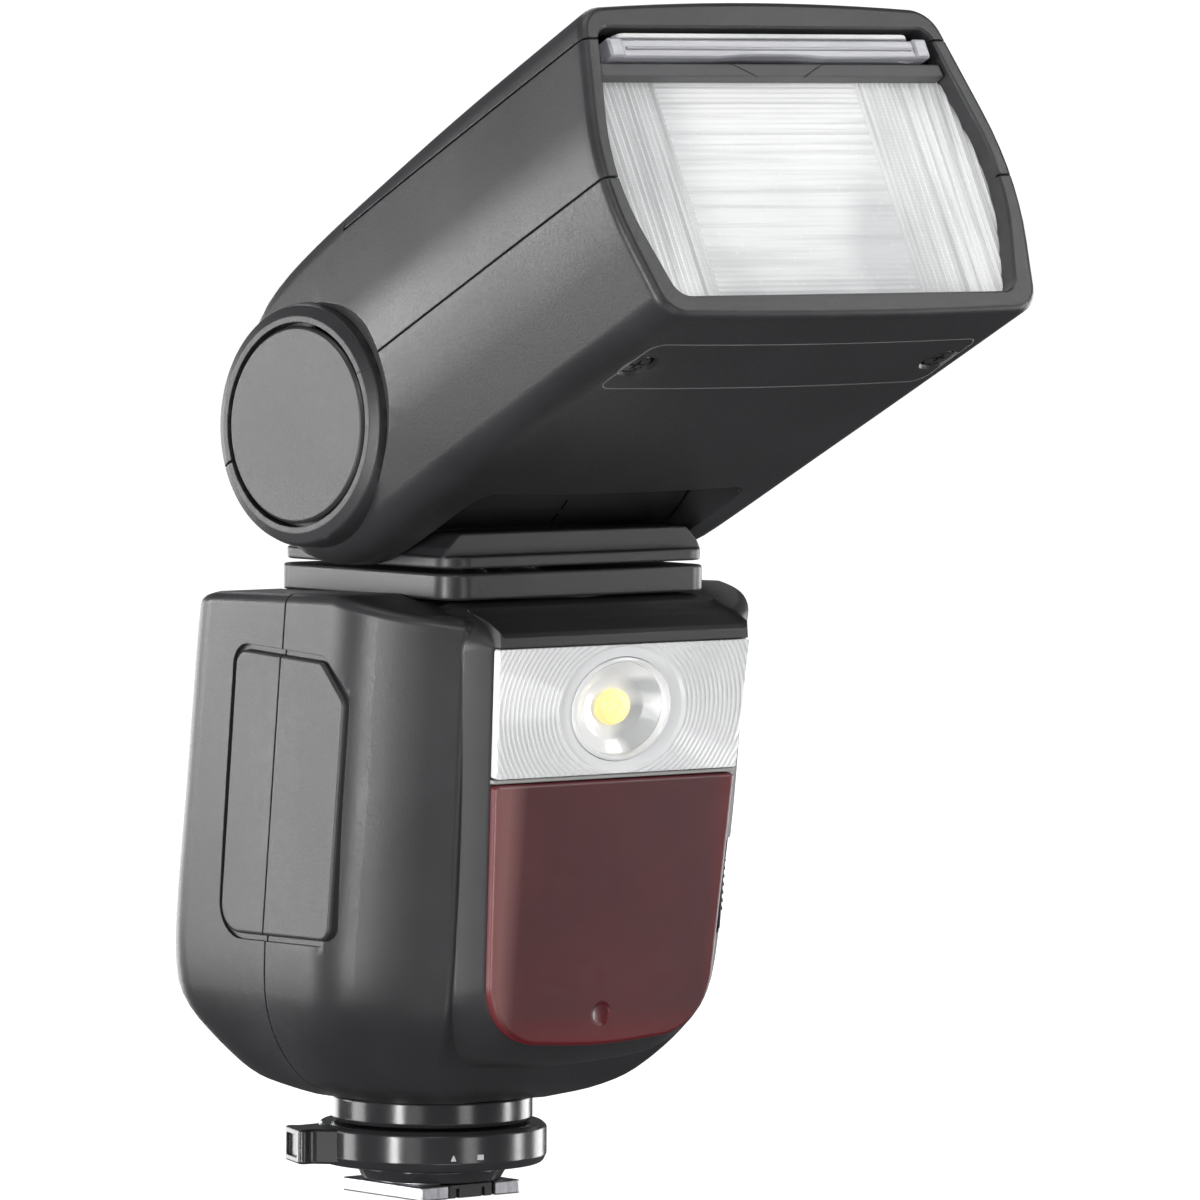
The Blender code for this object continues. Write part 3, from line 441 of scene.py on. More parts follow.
def red_window():
    """Smoked wine-red plastic, nearly black in the middle, with painted light on it: crimson along the thin bottom and
    right edges, a pinkish highlight down the left side and paler red on the rounded edges and side walls.
    """
    m = Nodes("smoked_red")
    fine = m.noise(800.0, 2.0, 0.5)
    broad = m.noise(48.0, 3.0, 0.55)
    split = m.add("ShaderNodeSeparateXYZ")
    m.link(m.coords, split.inputs[0])
    across, height = split.outputs["X"], split.outputs["Z"]
    # masks for painted light: the bottom, right and left edges of the window
    low = m.spread(height, 1, 0, 0.0250, 0.0300)
    right = m.spread(across, 0, 1, 0.0185, 0.0215)
    left = m.spread(across, 1, 0, -0.0196, -0.0164)
    core = m.mix(m.spread(broad, 0, 1, 0.35, 0.68), (0.066, 0.008, 0.011), (0.086, 0.010, 0.014))
    # painted pinkish highlight down the left side
    tone = m.mix(m.maths("MULTIPLY", left, 0.72), core, (0.28, 0.12, 0.115))
    # painted crimson light along the bottom and right edges
    tone = m.mix(m.maths("MULTIPLY", m.maths("MAXIMUM", low, right), 0.55), tone, (0.17, 0.006, 0.010))
    # painted paler red where the surface turns away from the front: its rounded edges and side walls
    facing = m.add("ShaderNodeVectorMath", operation="DOT_PRODUCT")
    m.link(m.add("ShaderNodeNewGeometry").outputs["Normal"], facing.inputs[0])
    facing.inputs[1].default_value = (0.0, -cos(atan(LEAN)), -sin(atan(LEAN)))
    tone = m.mix(m.spread(facing.outputs["Value"], 0.75, 0.0, 0.35, 0.985), tone, (0.15, 0.012, 0.018))
    m.principled(tone, m.spread(fine, 0.30, 0.38, 0.3, 0.7), m.bump(fine, 0.08, 0.00002, 0.0003), Specular_IOR_Level=0.42, Coat_Weight=0.2, Coat_Roughness=0.16, IOR=1.5)
    return m.made


def mirror(name, colour=(0.9, 0.9, 0.92), rough=0.12):
    m = Nodes(name)
    fine = m.noise(260.0, 3.0, 0.6)
    tone = m.mix(m.spread(fine, 0, 1, 0.3, 0.7), tuple(c * 0.9 for c in colour), colour)
    m.principled(tone, m.spread(fine, rough * 0.6, rough * 1.6, 0.3, 0.7), m.bump(fine, 0.06, 0.00001), Metallic=1.0)
    return m.made


def phosphor():
    m = Nodes("lamp_phosphor")
    grain = m.noise(2200.0, 3.0, 0.6)
    tone = m.mix(m.spread(grain, 0, 1, 0.35, 0.65), (0.93, 0.76, 0.26), (0.98, 0.88, 0.42))
    node = m.principled(tone, m.spread(grain, 0.3, 0.45, 0.3, 0.7), m.bump(grain, 0.3, 0.00003), Coat_Weight=0.5, Coat_Roughness=0.1, Emission_Strength=0.5)
    m.link(tone, node.inputs["Emission Color"])
    return m.made


def lamp_bowl_painted_light():
    """A polished cup drawn in colour: painted white with painted grey reflection sweeps and a faint painted glow, as it
    looks through its clear cap.
    """
    m = Nodes("lamp_bowl_painted_reflections")
    painted_reflection_sweep = m.noise(150.0, 1.0, 0.4, (0.5, 1.0, 1.0))
    fine = m.noise(1200.0, 2.0, 0.5)
    # painted reflections: white with grey sweeps in place of the polished cup's mirror
    tone = m.ramp(painted_reflection_sweep, [(0.36, (0.50, 0.51, 0.52)), (0.45, (0.93, 0.93, 0.93)), (0.7, (0.98, 0.98, 0.98))])
    # painted glow on the reflector, which is no lamp
    m.principled(tone, m.spread(fine, 0.16, 0.24, 0.3, 0.7), m.bump(fine, 0.05, 0.00001), Coat_Weight=0.8, Coat_Roughness=0.05, Emission_Color=(1, 1, 1, 1), Emission_Strength=0.10)
    return m.made


def circuit():
    """Solder-masked board with faint copper runs."""
    m = Nodes("circuit_board")
    brick = m.add("ShaderNodeTexBrick")
    brick.inputs["Scale"].default_value = 260.0
    brick.inputs["Color1"].default_value = (0.02, 0.12, 0.05, 1)
    brick.inputs["Color2"].default_value = (0.03, 0.17, 0.075, 1)
    brick.inputs["Mortar"].default_value = (0.10, 0.30, 0.12, 1)
    brick.inputs["Mortar Size"].default_value = 0.012
    m.link(m.coords, brick.inputs["Vector"])
    tone = m.mix(m.spread(m.noise(300.0, 2.0), 0, 0.4, 0.4, 0.7), brick.outputs["Color"], (0.02, 0.08, 0.04))
    m.principled(tone, m.spread(m.noise(900.0), 0.3, 0.45, 0.3, 0.7), m.bump(brick.outputs["Fac"], 0.3, 0.00005))
    return m.made


def display():
    """Dark display glass, faintly mottled and scored."""
    m = Nodes("display_glass")
    fine = m.noise(1500.0, 2.0)
    tone = m.mix(m.spread(fine, 0, 1, 0.35, 0.65), (0.012, 0.014, 0.013), (0.02, 0.023, 0.021))
    m.principled(tone, m.spread(m.noise(60.0, 3.0), 0.05, 0.14, 0.3, 0.7), m.bump(fine, 0.05, 0.00001), Coat_Weight=1.0, Coat_Roughness=0.03)
    return m.made


LOOK = {
    "shell": moulded("satin_charcoal", (0.030, 0.030, 0.032), 0.38),
    "shell_dark": moulded("matt_charcoal", (0.024, 0.024, 0.026), 0.40),
    "rim": moulded("rim_charcoal", (0.034, 0.034, 0.036), 0.36),
    "cap": moulded("cap_charcoal", (0.034, 0.034, 0.036), 0.36, 3000.0, 0.00002, 0.0),
    "rubber": moulded("soft_rubber", (0.022, 0.022, 0.024), 0.62, 1900.0, 0.00005, 0.25),
    "ring": moulded("ring_plastic", (0.030, 0.030, 0.032), 0.2, 2200.0, 0.000006, 0.3, spread=0.03),
    "tray": moulded("tray_grey", (0.075, 0.075, 0.078), 0.45, 2400.0, 0.00003, 0.3),
    "white": moulded("card_white", (0.84, 0.84, 0.83), 0.5, 1500.0, 0.00003, 0.0),
    "pale": moulded("pale_strip", (0.36, 0.36, 0.35), 0.4, 2400.0, 0.00002, 0.2),
    "line": moulded("printed_line", (0.22, 0.22, 0.222), 0.45, 2600.0, 0.00001, 0.0),
    "mark": moulded("pale_mark", (0.55, 0.55, 0.56), 0.5, 2600.0, 0.00002, 0.0),
    "red_mark": moulded("red_mark", (0.38, 0.03, 0.03), 0.5, 2600.0, 0.00002, 0.0),
    "sleeve": moulded("capacitor_sleeve", (0.03, 0.03, 0.09), 0.3, 1200.0, 0.00002, 0.2),
    "grey": moulded("inner_grey", (0.16, 0.16, 0.165), 0.5, 2200.0, 0.00003, 0.2),
    "metal": brushed("brushed_steel", (0.58, 0.58, 0.60)),
    "dark_metal": brushed("blackened_steel", (0.2, 0.2, 0.205), 0.3),
    "plate": brushed("shoe_plate", (0.42, 0.42, 0.44), 0.34, (12, 1, 1), 300.0),
    "gold": brushed("gold_contact", (0.86, 0.66, 0.30), 0.22, (1, 1, 6), 500.0),
    "mirror": mirror("silvered_bowl"),
    "lens": lens_white(),
    "clear": clear_plastic("clear_panel", (0.80, 0.80, 0.86), 0.5, 0.12),
    "dome": clear_plastic("lamp_dome", (0.97, 0.97, 0.98), 0.06, 0.03),
    "lamp": lamp_plate(),
    "red": red_window(),
    "led": phosphor(),
    "bowl": lamp_bowl_painted_light(),
    "board": circuit(),
    "glass": display(),
}


def place_piece(piece, body, look, slot, *nodes, sharp=30):
    """Finishes one piece: shading, material, the body it rides on and the CAD nodes it stands for."""
    data = piece.data
    data.shade_smooth()
    data.set_sharp_from_angle(angle=radians(sharp))
    data.materials.clear()
    data.materials.append(LOOK[look])
    weighted = piece.modifiers.new("even_normals", "WEIGHTED_NORMAL")
    weighted.keep_sharp = True
    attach(piece, body)
    if nodes:
        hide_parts(*nodes)
    return piece


# ---------------------------------------------------------------- body shells
# height, half width, front, front strip's half width, where the side starts, rear, rear radius
BODY = [
    (14.8, 16.0, -16.0, 8.5, -8.5, 14.5, 9.0),
    (16.2, 21.5, -20.5, 13.0, -10.5, 14.2, 11.0),
    (18.2, 27.0, -23.8, 17.0, -12.5, 14.8, 12.0),
    (20.8, 30.3, -26.3, 19.7, -14.5, 16.0, 12.0),
    (24.5, 33.2, -29.5, 22.0, -16.8, 17.6, 11.0),
    (28.0, 35.0, -32.0, 23.4, -18.8, 19.4, 10.0),
    (32.0, 36.1, -33.5, 24.0, -19.9, 20.6, 9.5),
    (38.0, 36.6, -34.5, 24.4, -20.6, 20.3, 9.0),
    (60.0, 36.9, -37.0, 25.4, -24.0, 17.5, 9.0),
    (84.0, 36.9, -39.0, 25.8, -26.3, 14.7, 9.0),
    (92.0, 36.9, -39.7, 25.8, -27.2, 13.7, 9.0),
]
TOP = [(-50, 83.8), (-41, 85.9), (-38.5, 86.7), (-33, 87.7), (-27, 89.0), (-17, 90.6), (-10, 91.0), (14, 87.8), (20, 87.0)]


def body_outline(z, inwards=0.0, steps=7):
    half, front, strip, side, back, r = smooth_read(BODY, z)
    edge, wall = Vector((strip, front)), Vector((half, side))
    along = (wall - edge).normalized()
    belly = (edge + wall) / 2 + Vector((along.y, -along.x)) * 0.055 * (wall - edge).length
    corners = [(edge.x, edge.y, 1.5), (belly.x, belly.y, 60), (half, side, 26), (half, back, r)]
    whole = corners + [(-x, y, q) for x, y, q in reversed(corners)]
    return rounded(inset(whole, inwards) if inwards else whole, steps)


def body_blank(name):
    heights = [14.8, 15.2, 15.7, 16.2, 16.8, 17.5, 18.2, 19.1, 20.0, 20.8, 21.9, 23.2, 24.5, 26.2, 28.0, 30.0, 32.0, 35.0]
    heights += [38.0 + 3.0 * k for k in range(15)] + [82.0, 83.4]
    sections = [[(x, y, z) for x, y in body_outline(z)] for z in heights]
    for k in range(8):
        t = radians(90 * k / 7)
        drop, into = 1.6 * (1 - sin(t)), 1.6 * (1 - cos(t))
        sections.append([(x, y, smooth_read(TOP, y)[0] - drop) for x, y in body_outline(88.0, into)])
    return loft(name, sections, strips=True)


def seam_y(z):
    return -12.0 + LEAN * (89.9 - z)


def big(name, outline, half=60):
    return loft(name, [[(-half, a, b) for a, b in outline], [(half, a, b) for a, b in outline]])


def side_pad(side):
    """The groove's cutter and the raised grip plate on one side wall."""
    pad = [(-0.6, 81.5, 2.6), (-20.6, 80.5, 1.6), (-25.9, 74.9, 2.2), (-22.4, 40.2, 2.4), (3.3, 40.0, 4.2)]
    outer = pillow("groove", inset(pad, -0.7), 36.2, 40.0, 0, "X", steps=8)
    plate = pillow("plate", inset(pad, 0.15), 34.0, 37.2, 0.55, "X", steps=8, arc=5, low_edge=0)
    for o in (outer, plate):
        if side < 0:
            o.data.transform(Matrix.Scale(-1, 4, (1, 0, 0)))
            o.data.flip_normals()
    return outer, plate


def body_cavity(name="cavity"):
    heights = [17.0, 18.2, 20.8, 24.5, 28.0, 32.0, 38.0, 60.0]
    return loft(name, [[(x, y, z) for x, y in body_outline(max(z, 17.4), 2.0, 3)] for z in heights] + [[(x, y, 85.4) for x, y in body_outline(85.4, 2.0, 3)]])


def body_tools():
    return [
        body_cavity(),
        pillow("recess", rect(-25.0, 25.0, SWIVEL_Y - 20.9, SWIVEL_Y + 20.9, 4.5), 88.9, 100, 0),
        disc("swivel_hole", 17.3, 80, 100, at=(0, SWIVEL_Y, 0)),
        disc("neck_hole", 12.8, 10, 18),
        block("battery_hole", (20, 60), (-21.3, 8.3), (32.7, 78.3)),
        block("latch_hole", (33.2, 60), (-13.4, 0.3), (79.9, 83.7)),
    ]


LCD = (0.0, -13.5, 25.0, 12.5)
KEYS = {"soft_key_1": (-17.4, -31.0), "soft_key_2": (-5.8, -31.0), "soft_key_3": (5.8, -31.0), "soft_key_4": (17.4, -31.0)}
ROUND_KEYS = {"mode_key": (-20.5, -41.0), "zoom_key": (20.5, -41.0), "test_button": (-20.5, -51.0)}
DIAL, SWITCH = (0.0, -45.5), (20.5, -51.0)


def on_rear(x, up):
    return REAR @ Matrix.Translation((x, up, 0))


def chamfer_frame():
    half, front, strip, side = 36.709, -35.409, 25.173, -21.836
    along = Vector((half - 0.6 - strip, side - front, 0)).normalized()
    up = Vector((0, -LEAN, 1)).normalized()
    out = along.cross(up).normalized()
    if out.y > 0:
        out = -out
    return Matrix.Translation(((half - 0.6 + strip) / 2, (front + side) / 2, 46.0)) @ Matrix((along, up, out)).transposed().to_4x4()


def panel_corners(low, high, r_low, r_high, trim=0.0):
    """The leaning face between two heights above z = 0, in the window's frame."""
    def at(z):
        return (z - 73.4) / cos(atan(LEAN))

    def half(z):
        return 23.3 - 0.051 * (PANEL_TOP - z) - trim

    foot = [(-half(low), at(low), r_low), (half(low), at(low), r_low)]
    if r_low > 3:  # the round-cornered end is bowed a little
        foot = [(-half(low), at(low) + 1.1, r_low + 1.0), (0, at(low) - 0.35, 90.0), (half(low), at(low) + 1.1, r_low + 1.0)]
    return [*foot, (half(high), at(high), r_high), (-half(high), at(high), r_high)]


front = body_blank("body_front_fine")
plinth_rows = []
for depth, low, high, trim, r_low, r_high in (
    (1.45, 25.3, 83.1, 0.3, 8.2, 0.6), (1.6, 24.95, 83.4, 0.02, 8.5, 0.8), (1.9, 24.6, 83.9, -0.25, 8.8, 1.4), (3.2, 23.3, 85.4, -1.4, 9.8, 3.0),
    (4.8, 21.9, 86.4, -2.7, 11.0, 4.4), (7.0, 20.9, 87.0, -3.4, 12.0, 5.0), (10.0, 20.0, 87.5, -3.6, 12.0, 5.0), (13.0, 19.5, 87.6, -3.6, 12.0, 5.0)):
    plinth_rows.append([(x, depth, up) for x, up in rounded(panel_corners(low, high, r_low, r_high, trim), 8)])
plinth = loft("plinth", plinth_rows, WINDOW)
lip = pillow("lip", [(-36.0, 88.4, 0.3), (-38.6, 87.4, 1.5), (-43.5, 85.6, 1.0), (-43.75, 82.9, 0.15), (-36.0, 82.9, 0.2)], -23.1, 23.1, 0.15, "X", steps=5)
scoop = [(-34.2, 101.0, 0), (-34.2, 89.6, 0.6), (-36.4, 87.3, 3.0), (-40.0, 86.5, 5.0), (-43.0, 85.0, 1.2), (-44.2, 83.6, 0.8), (-51.0, 83.4, 0), (-51.0, 101.0, 0)]
channel = pillow("channel", scoop, -23.35, 23.35, 1.2, "X", steps=8, arc=6)
pockets = [pillow("lamp_room", panel_corners(64.0, 82.8, 0.5, 0.5, 0.7), -1, 4.4, 0, "Y", WINDOW, 3), pillow("sensor_room", panel_corners(25.6, 63.3, 7.9, 0.6, 0.7), -1, 4.4, 0, "Y", WINDOW, 8)]
lamp_hole = disc("lamp_hole", 8.9, -50, -33, "Y", at=(0, 0, 73.4))
sensor_hole = pillow("sensor_hole", rect(-14, 14, 34, 58, 3), -50, -30, 0, "Y")
groove, plate = side_pad(-1)
PORT = chamfer_frame()
port_recess = pillow("port_recess", [(-5.4, -7.1, 0.2), (4.9, -6.9, 1), (4.9, 6.9, 1), (-5.4, 7.1, 0.2)], -1.5, 6, 0, "Z", PORT)
port_hole = disc("port_hole", 3.1, -9, 6, place=PORT)
port_relief = pillow("port_relief", rect(-6.4, -4.2, -6.9, 6.9, 0.7), -0.02, 6, 0, "Z", PORT)  # the cover folds back over this step
seam_front = big("seam_front", [(seam_y(0) - 0.16, 0), (60, 0), (60, 110), (seam_y(110) - 0.16, 110)])
carve(front, cut=[groove])
carve(front, unite=[plate, plinth, lip])
carve(front, cut=[channel, *pockets, *body_tools(), lamp_hole, sensor_hole, port_recess, port_relief, port_hole, seam_front])
place_piece(front, "body", "shell", "shell", "body_front_shell")

back = body_blank("body_rear_fine")
groove, plate = side_pad(-1)
carve(back, cut=[groove])
carve(back, unite=[plate])
panel_groove_out = pillow("panel_groove", inset(rect(-28.6, 28.6, -56.5, -26.0, 3.5), -0.25), -0.35, 6, 0, "Z", REAR)
panel_groove_in = pillow("panel_island", inset(rect(-28.6, 28.6, -56.5, -26.0, 3.5), 0.25), -1.5, 8, 0, "Z", REAR)
carve(panel_groove_out, cut=[panel_groove_in])
rear_tools = [
    panel_groove_out,
    pillow("lcd_hole", rect(-21.5, 21.5, -9.5, 9.5, 1), -8, 8, 0, "Z", on_rear(*LCD[:2])),
    pillow("lcd_seat", rect(-25.3, 25.3, -12.8, 12.8, 2.3), -1.1, 8, 0, "Z", on_rear(*LCD[:2])),
    disc("dial_hole", 10.0, -1.6, 8, place=on_rear(*DIAL)),
    disc("set_hole", 3.4, -8, 8, place=on_rear(*DIAL)),
    pillow("switch_hole", rect(-5.6, 5.6, -2.0, 2.0, 0.5), -8, 8, 0, "Z", on_rear(*SWITCH)),
]
rear_tools += [pillow(k + "_hole", rect(-4.5, 4.5, -2.5, 2.5, 0.8), -8, 8, 0, "Z", on_rear(*at)) for k, at in KEYS.items()]
rear_tools += [disc(k + "_hole", 3.8, -8, 8, place=on_rear(*at)) for k, at in ROUND_KEYS.items()]
seam_rear = big("seam_rear", [(seam_y(0) + 0.16, 0), (-60, 0), (-60, 110), (seam_y(110) + 0.16, 110)])
carve(back, cut=[*body_tools(), *rear_tools, seam_rear])
place_piece(back, "body", "shell", "shell", "body_rear_shell")

# ---------------------------------------------------------------- windows of the front face
plate = pillow("lamp_window_fine", panel_corners(64.1, 82.7, 0.5, 0.5), 0.0, 1.4, 0, "Y", WINDOW, 4, low_edge=0.3)
carve(plate, unite=[pillow("lamp_window_back", panel_corners(64.2, 82.6, 0.5, 0.5, 0.85), 1.2, 4.2, 0, "Y", WINDOW, 4)])
r = 9.4
wide = (1.26, 1.0)
bowl_line = [(9.0, 0.35)]
while r < 31:
    bowl_line += [(r, 0.02), (r + 0.46, 0.26)]
    r += 0.66
rings = lathe("ring_cutter", [(0, -6), (33, -6), (33, 0.3)] + [(q, h) for q, h in reversed(bowl_line)] + [(0, 0.35)], "Y", n=144, place=WINDOW, stretch=wide)
pocket = lathe("lamp_pocket", [(0, 2.0), (8.8, 2.0), (8.8, 6.0), (0, 6.0)], "Y", n=64, place=WINDOW)
eye = lathe("lamp_eye", [(0, -3), (7.6, -3), (7.6, 6), (0, 6)], "Y", n=72, place=WINDOW, stretch=(1.22, 1.0))
carve(plate, cut=[rings, pocket, eye])
place_piece(plate, "body", "lamp", "clear", "lamp_window", sharp=20)
collar_ring = lathe("lamp_eye_ring", [(7.5, 0.1, 0.1), (7.05, -0.2, 0.15), (6.75, 0.25, 0.2), (6.7, 1.0, 0.1), (7.5, 1.0, 0.1)], "Y", n=96, place=WINDOW, stretch=(1.22, 1.0))
place_piece(collar_ring, "body", "lamp", "clear")
bowl = lathe("lamp_bowl", [(0, 3.6), (7.4, 3.6, 0.2), (7.4, 1.02, 0.1), (6.6, 1.02, 0.2), (6.1, 1.3, 0.8), (4.6, 2.1, 1.5), (2.8, 2.5, 0.5), (0, 2.5)], "Y", n=96, place=WINDOW, stretch=(1.22, 1.0), steps=6)
place_piece(bowl, "body", "bowl", "mirror", "lamp_reflector")
led = lathe("lamp_led_fine", [(0, 3.0), (2.6, 3.0, 0.1), (2.6, 1.8, 0.6), (1.6, 1.4, 0.8), (0, 1.3)], "Y", n=64, place=WINDOW, stretch=(1.2, 1.0), steps=6)
place_piece(led, "body", "led", "led", "lamp_led")
strip = pillow("pale_strip", [(-22.5, -10.05, 0.1), (22.5, -10.05, 0.1), (22.5, -9.5, 0.1), (-22.5, -9.5, 0.1)], 0.5, 1.4, 0, "Y", WINDOW, 3, low_edge=0.15)
place_piece(strip, "body", "pale", "clear")

smoked = pillow("sensor_window_fine", panel_corners(24.8, 63.2, 8.6, 0.7), 0.0, 1.4, 0, "Y", WINDOW, 10, 6, low_edge=0.7)
carve(smoked, unite=[pillow("sensor_window_back", panel_corners(25.8, 63.1, 7.7, 0.6, 0.85), 1.2, 4.2, 0, "Y", WINDOW, 8)])
hollow = pillow("sensor_pocket", rect(-13.5, 13.5, -41.2, -13.4, 1.0), 2.6, 8.0, 0, "Y", WINDOW)
dimple = lathe("sensor_dimple", [(0, -1), (1.75, -1), (1.75, 0.05, 0.05), (1.45, 0.28, 0.1), (0, 0.5)], "Y", (0, 0, -44.3), 40, WINDOW)
carve(smoked, cut=[hollow, dimple])
place_piece(smoked, "body", "red", "red", "sensor_window", sharp=40)

# ---------------------------------------------------------------- rear display and controls
glass = pillow("lcd_glass_fine", rect(-25, 25, -12.5, 12.5, 2), -0.8, 0.4, 0.25, "Z", on_rear(*LCD[:2]), 8)
place_piece(glass, "body", "glass", "glass", "lcd_window")
for name, place in KEYS.items():
    key = pillow(name + "_fine", rect(-4.2, 4.2, -2.2, 2.2, 0.9), -2.6, 0.9, 0.45, "Z", on_rear(*place), 6, 5, low_edge=0.1)
    dish = lathe("dish", [(0, 0.62), (1.6, 0.72, 0.4), (2.6, 1.4), (0, 1.4)], "Z", n=40, place=on_rear(*place), stretch=(1.35, 0.62))
    carve(key, cut=[dish])
    place_piece(key, name, "rubber", "rubber", name)
for name, place in ROUND_KEYS.items():
    key = lathe(name + "_fine", [(0, -2.6), (3.4, -2.6, 0.1), (3.4, 0.9, 0.5), (2.3, 0.82, 0.4), (0, 0.62)], "Z", n=48, place=on_rear(*place), steps=5)
    place_piece(key, name, "rubber", "rubber", name)
knurl = []
for k in range(40):
    for half, q in ((-0.29, 9.55), (-0.15, 9.25), (0.15, 9.25), (0.29, 9.55)):
        a = 2 * pi * (k + half) / 40
        knurl.append((q * cos(a), q * sin(a)))
dial_sections = []
for h, scale in ((-1.3, 0.985), (-1.1, 1.0), (0.9, 1.0), (1.25, 0.98), (1.4, 0.93)):
    dial_sections.append([(x * scale, y * scale, h) for x, y in knurl])
dial = loft("select_dial_fine", dial_sections, on_rear(*DIAL))
carve(dial, cut=[disc("dial_bore", 5.6, -3, 3, n=64, place=on_rear(*DIAL)), lathe("dial_dish", [(6.2, 1.05, 0.3), (8.4, 1.05, 0.3), (8.8, 1.7), (5.9, 1.7)], "Z", n=64, place=on_rear(*DIAL))])
place_piece(dial, "select_dial", "rubber", "rubber", "select_dial")
setter = lathe("set_button_fine", [(0, -3.4), (3.0, -3.4, 0.1), (3.0, -0.9), (5.2, -0.9, 0.1), (5.2, 1.1, 0.4), (4.0, 1.0, 0.5), (0, 0.7)], "Z", n=56, place=on_rear(*DIAL))
place_piece(setter, "set_button", "rubber", "rubber", "set_button")
knob = pillow("power_switch_fine", rect(-3.4, 3.4, -1.7, 1.7, 0.6), -2.6, 0.5, 0.25, "Z", on_rear(SWITCH[0] - 1.9, SWITCH[1]), 5)
ridges = [pillow(f"ridge_{k}", rect(x - 0.22, x + 0.22, -1.25, 1.25, 0.15), 0.2, 1.15, 0.2, "Z", on_rear(SWITCH[0] - 1.9, SWITCH[1])) for k, x in enumerate((-1.1, -0.37, 0.37, 1.1))]
carve(knob, unite=ridges)
place_piece(knob, "power_switch", "grey", "grey", "power_switch")

# generic marks: bars over the soft keys, a ring of ticks for the dial, a dot for on
marks = []
for i, (name, (x, up)) in enumerate(KEYS.items()):
    marks.append(pillow(f"key_bar_{i}", rect(x - 1.6, x + 1.6, up + 3.35, up + 3.65, 0.12), 0.0, 0.04, 0, "Z", REAR))
for k in range(12):
    a = radians(30 * k + 15)
    marks.append(pillow(f"tick_{k}", rect(10.7, 11.5, -0.14, 0.14, 0.08), 0.0, 0.04, 0, "Z", on_rear(*DIAL) @ Matrix.Rotation(a, 4, "Z")))
marks.append(disc("on_dot", 0.5, 0.0, 0.04, place=on_rear(SWITCH[0] + 5.0, SWITCH[1] + 3.2), n=24))
for m in marks:
    place_piece(m, "body", "mark", "white")

# ---------------------------------------------------------------- port cover, battery, latch
cover = pillow("port_cover_fine", rect(-4.6, 4.6, -6.6, 6.6, 1), -0.7, 0.5, 0.3, "Z", PORT, 6)
plug = disc("plug", 1.2, -1.4, -0.5, place=PORT)
nick = pillow("nick", rect(2.2, 3.9, -2.2, 2.2, 0.6), 0.1, 2, 0, "Z", PORT)
bars = [pillow(f"bar_{k}", rect(-3.2, 1.0, y - 0.25, y + 0.25, 0.2), 0.3, 0.72, 0.15, "Z", PORT) for k, y in enumerate((-3.6, -2.4, -1.2, 0, 1.2, 2.4, 3.6))]
carve(cover, unite=[plug, *bars], cut=[nick])
place_piece(cover, "port_cover", "rubber", "rubber", "port_cover")
pack = block("battery_pack_fine", (-8.0, 33.3), (-21.0, 8.0), (33.0, 78.0), 0.5, 1.0)
door = pillow("door", [(-21.0, 33.0, 1.2), (8.0, 33.0, 1.2), (8.0, 78.0, 1.2), (-21.0, 78.0, 1.2)], 33.0, 36.75, 0.5, "X", low_edge=0)
grips = [pillow(f"grip_{k}", rect(-15.0 + 0.02 * k, 2.0, 60.0 - 2.0 * k, 60.9 - 2.0 * k, 0.4), 36.45, 39, 0, "X", steps=4) for k in range(7)]
arrow = pillow("arrow", [(-8.6, 46.0, 0.2), (-4.4, 46.0, 0.2), (-6.5, 42.4, 0.2)], 36.5, 39, 0, "X", steps=3)
carve(pack, unite=[door], cut=[*grips, arrow])
place_piece(pack, "battery_pack", "shell_dark", "rubber", "battery_pack")
latch = pillow("battery_latch_fine", rect(-10.0, 0.0, 80.2, 83.4, 0.6), 33.9, 36.6, 0.3, "X")
ribs = [pillow(f"rib_{k}", rect(y - 0.25, y + 0.25, 80.8, 82.8, 0.2), 36.3, 37.2, 0.2, "X") for k, y in enumerate((-7.0, -6.0, -5.0, -4.0, -3.0))]
carve(latch, unite=ribs)
place_piece(latch, "battery_latch", "grey", "grey", "battery_latch")

# ---------------------------------------------------------------- shoe, neck and lock
neck = lathe("shoe_neck_fine", [(9.1, 2.3, 0.1), (10.2, 2.3, 0.15), (11.2, 4.0, 0.2), (10.2, 4.3, 0.1), (10.2, 10.8, 0.3), (14.4, 10.8, 0.3), (14.8, 11.4, 0.3), (14.8, 14.5, 0.35), (12.5, 14.5, 0.1), (12.5, 19.0, 0.2), (4.0, 19.0, 0.2), (4.0, 6.6, 0.2), (9.1, 6.6, 0.2)], n=96)
place_piece(neck, "body", "ring", "shell", "shoe_neck")
foot = block("shoe_foot_fine", (-9.3, 9.3), (-9.4, 9.4), (0.0, 2.0), 0.25, 0.5)
boss = disc("foot_boss", 8.8, 1.5, 6.3, n=72, edge=0.2, low_edge=0)
foot_slot = block("foot_slot", (-4.5, 4.5), (-20, 5.2), (-5, 10))
bevels = [pillow(f"foot_bevel_{i}", [(s * 9.9, -0.6, 0), (s * 9.9, 0.5, 0), (s * 8.8, -0.6, 0)], -20, 20, 0, "Y") for i, s in enumerate((-1, 1))]
carve(foot, unite=[boss], cut=[foot_slot, disc("pin_hole", 1.05, -2, 10, at=(-6.6, -4.0, 0)), *bevels])
place_piece(foot, "body", "plate", "metal", "shoe_foot")
contacts = [(0, -2.6, 1.2)] + [(x, y, 0.65) for x, y in ((-2.6, -4.0), (2.6, -4.0), (-2.6, 2.6), (2.6, 2.6))]
insulator = block("contact_block_fine", (-4.2, 4.2), (-9.1, 4.9), (0.0, 2.0), 0.2, 0.4)
insulator_top = block("insulator_top", (-4.2, 4.2), (-6.2, 4.9), (1.6, 6.2), 0.2, 0.4)
insulator_pocket = block("insulator_pocket", (-3.6, 3.6), (-5.2, 4.0), (3.6, 8))
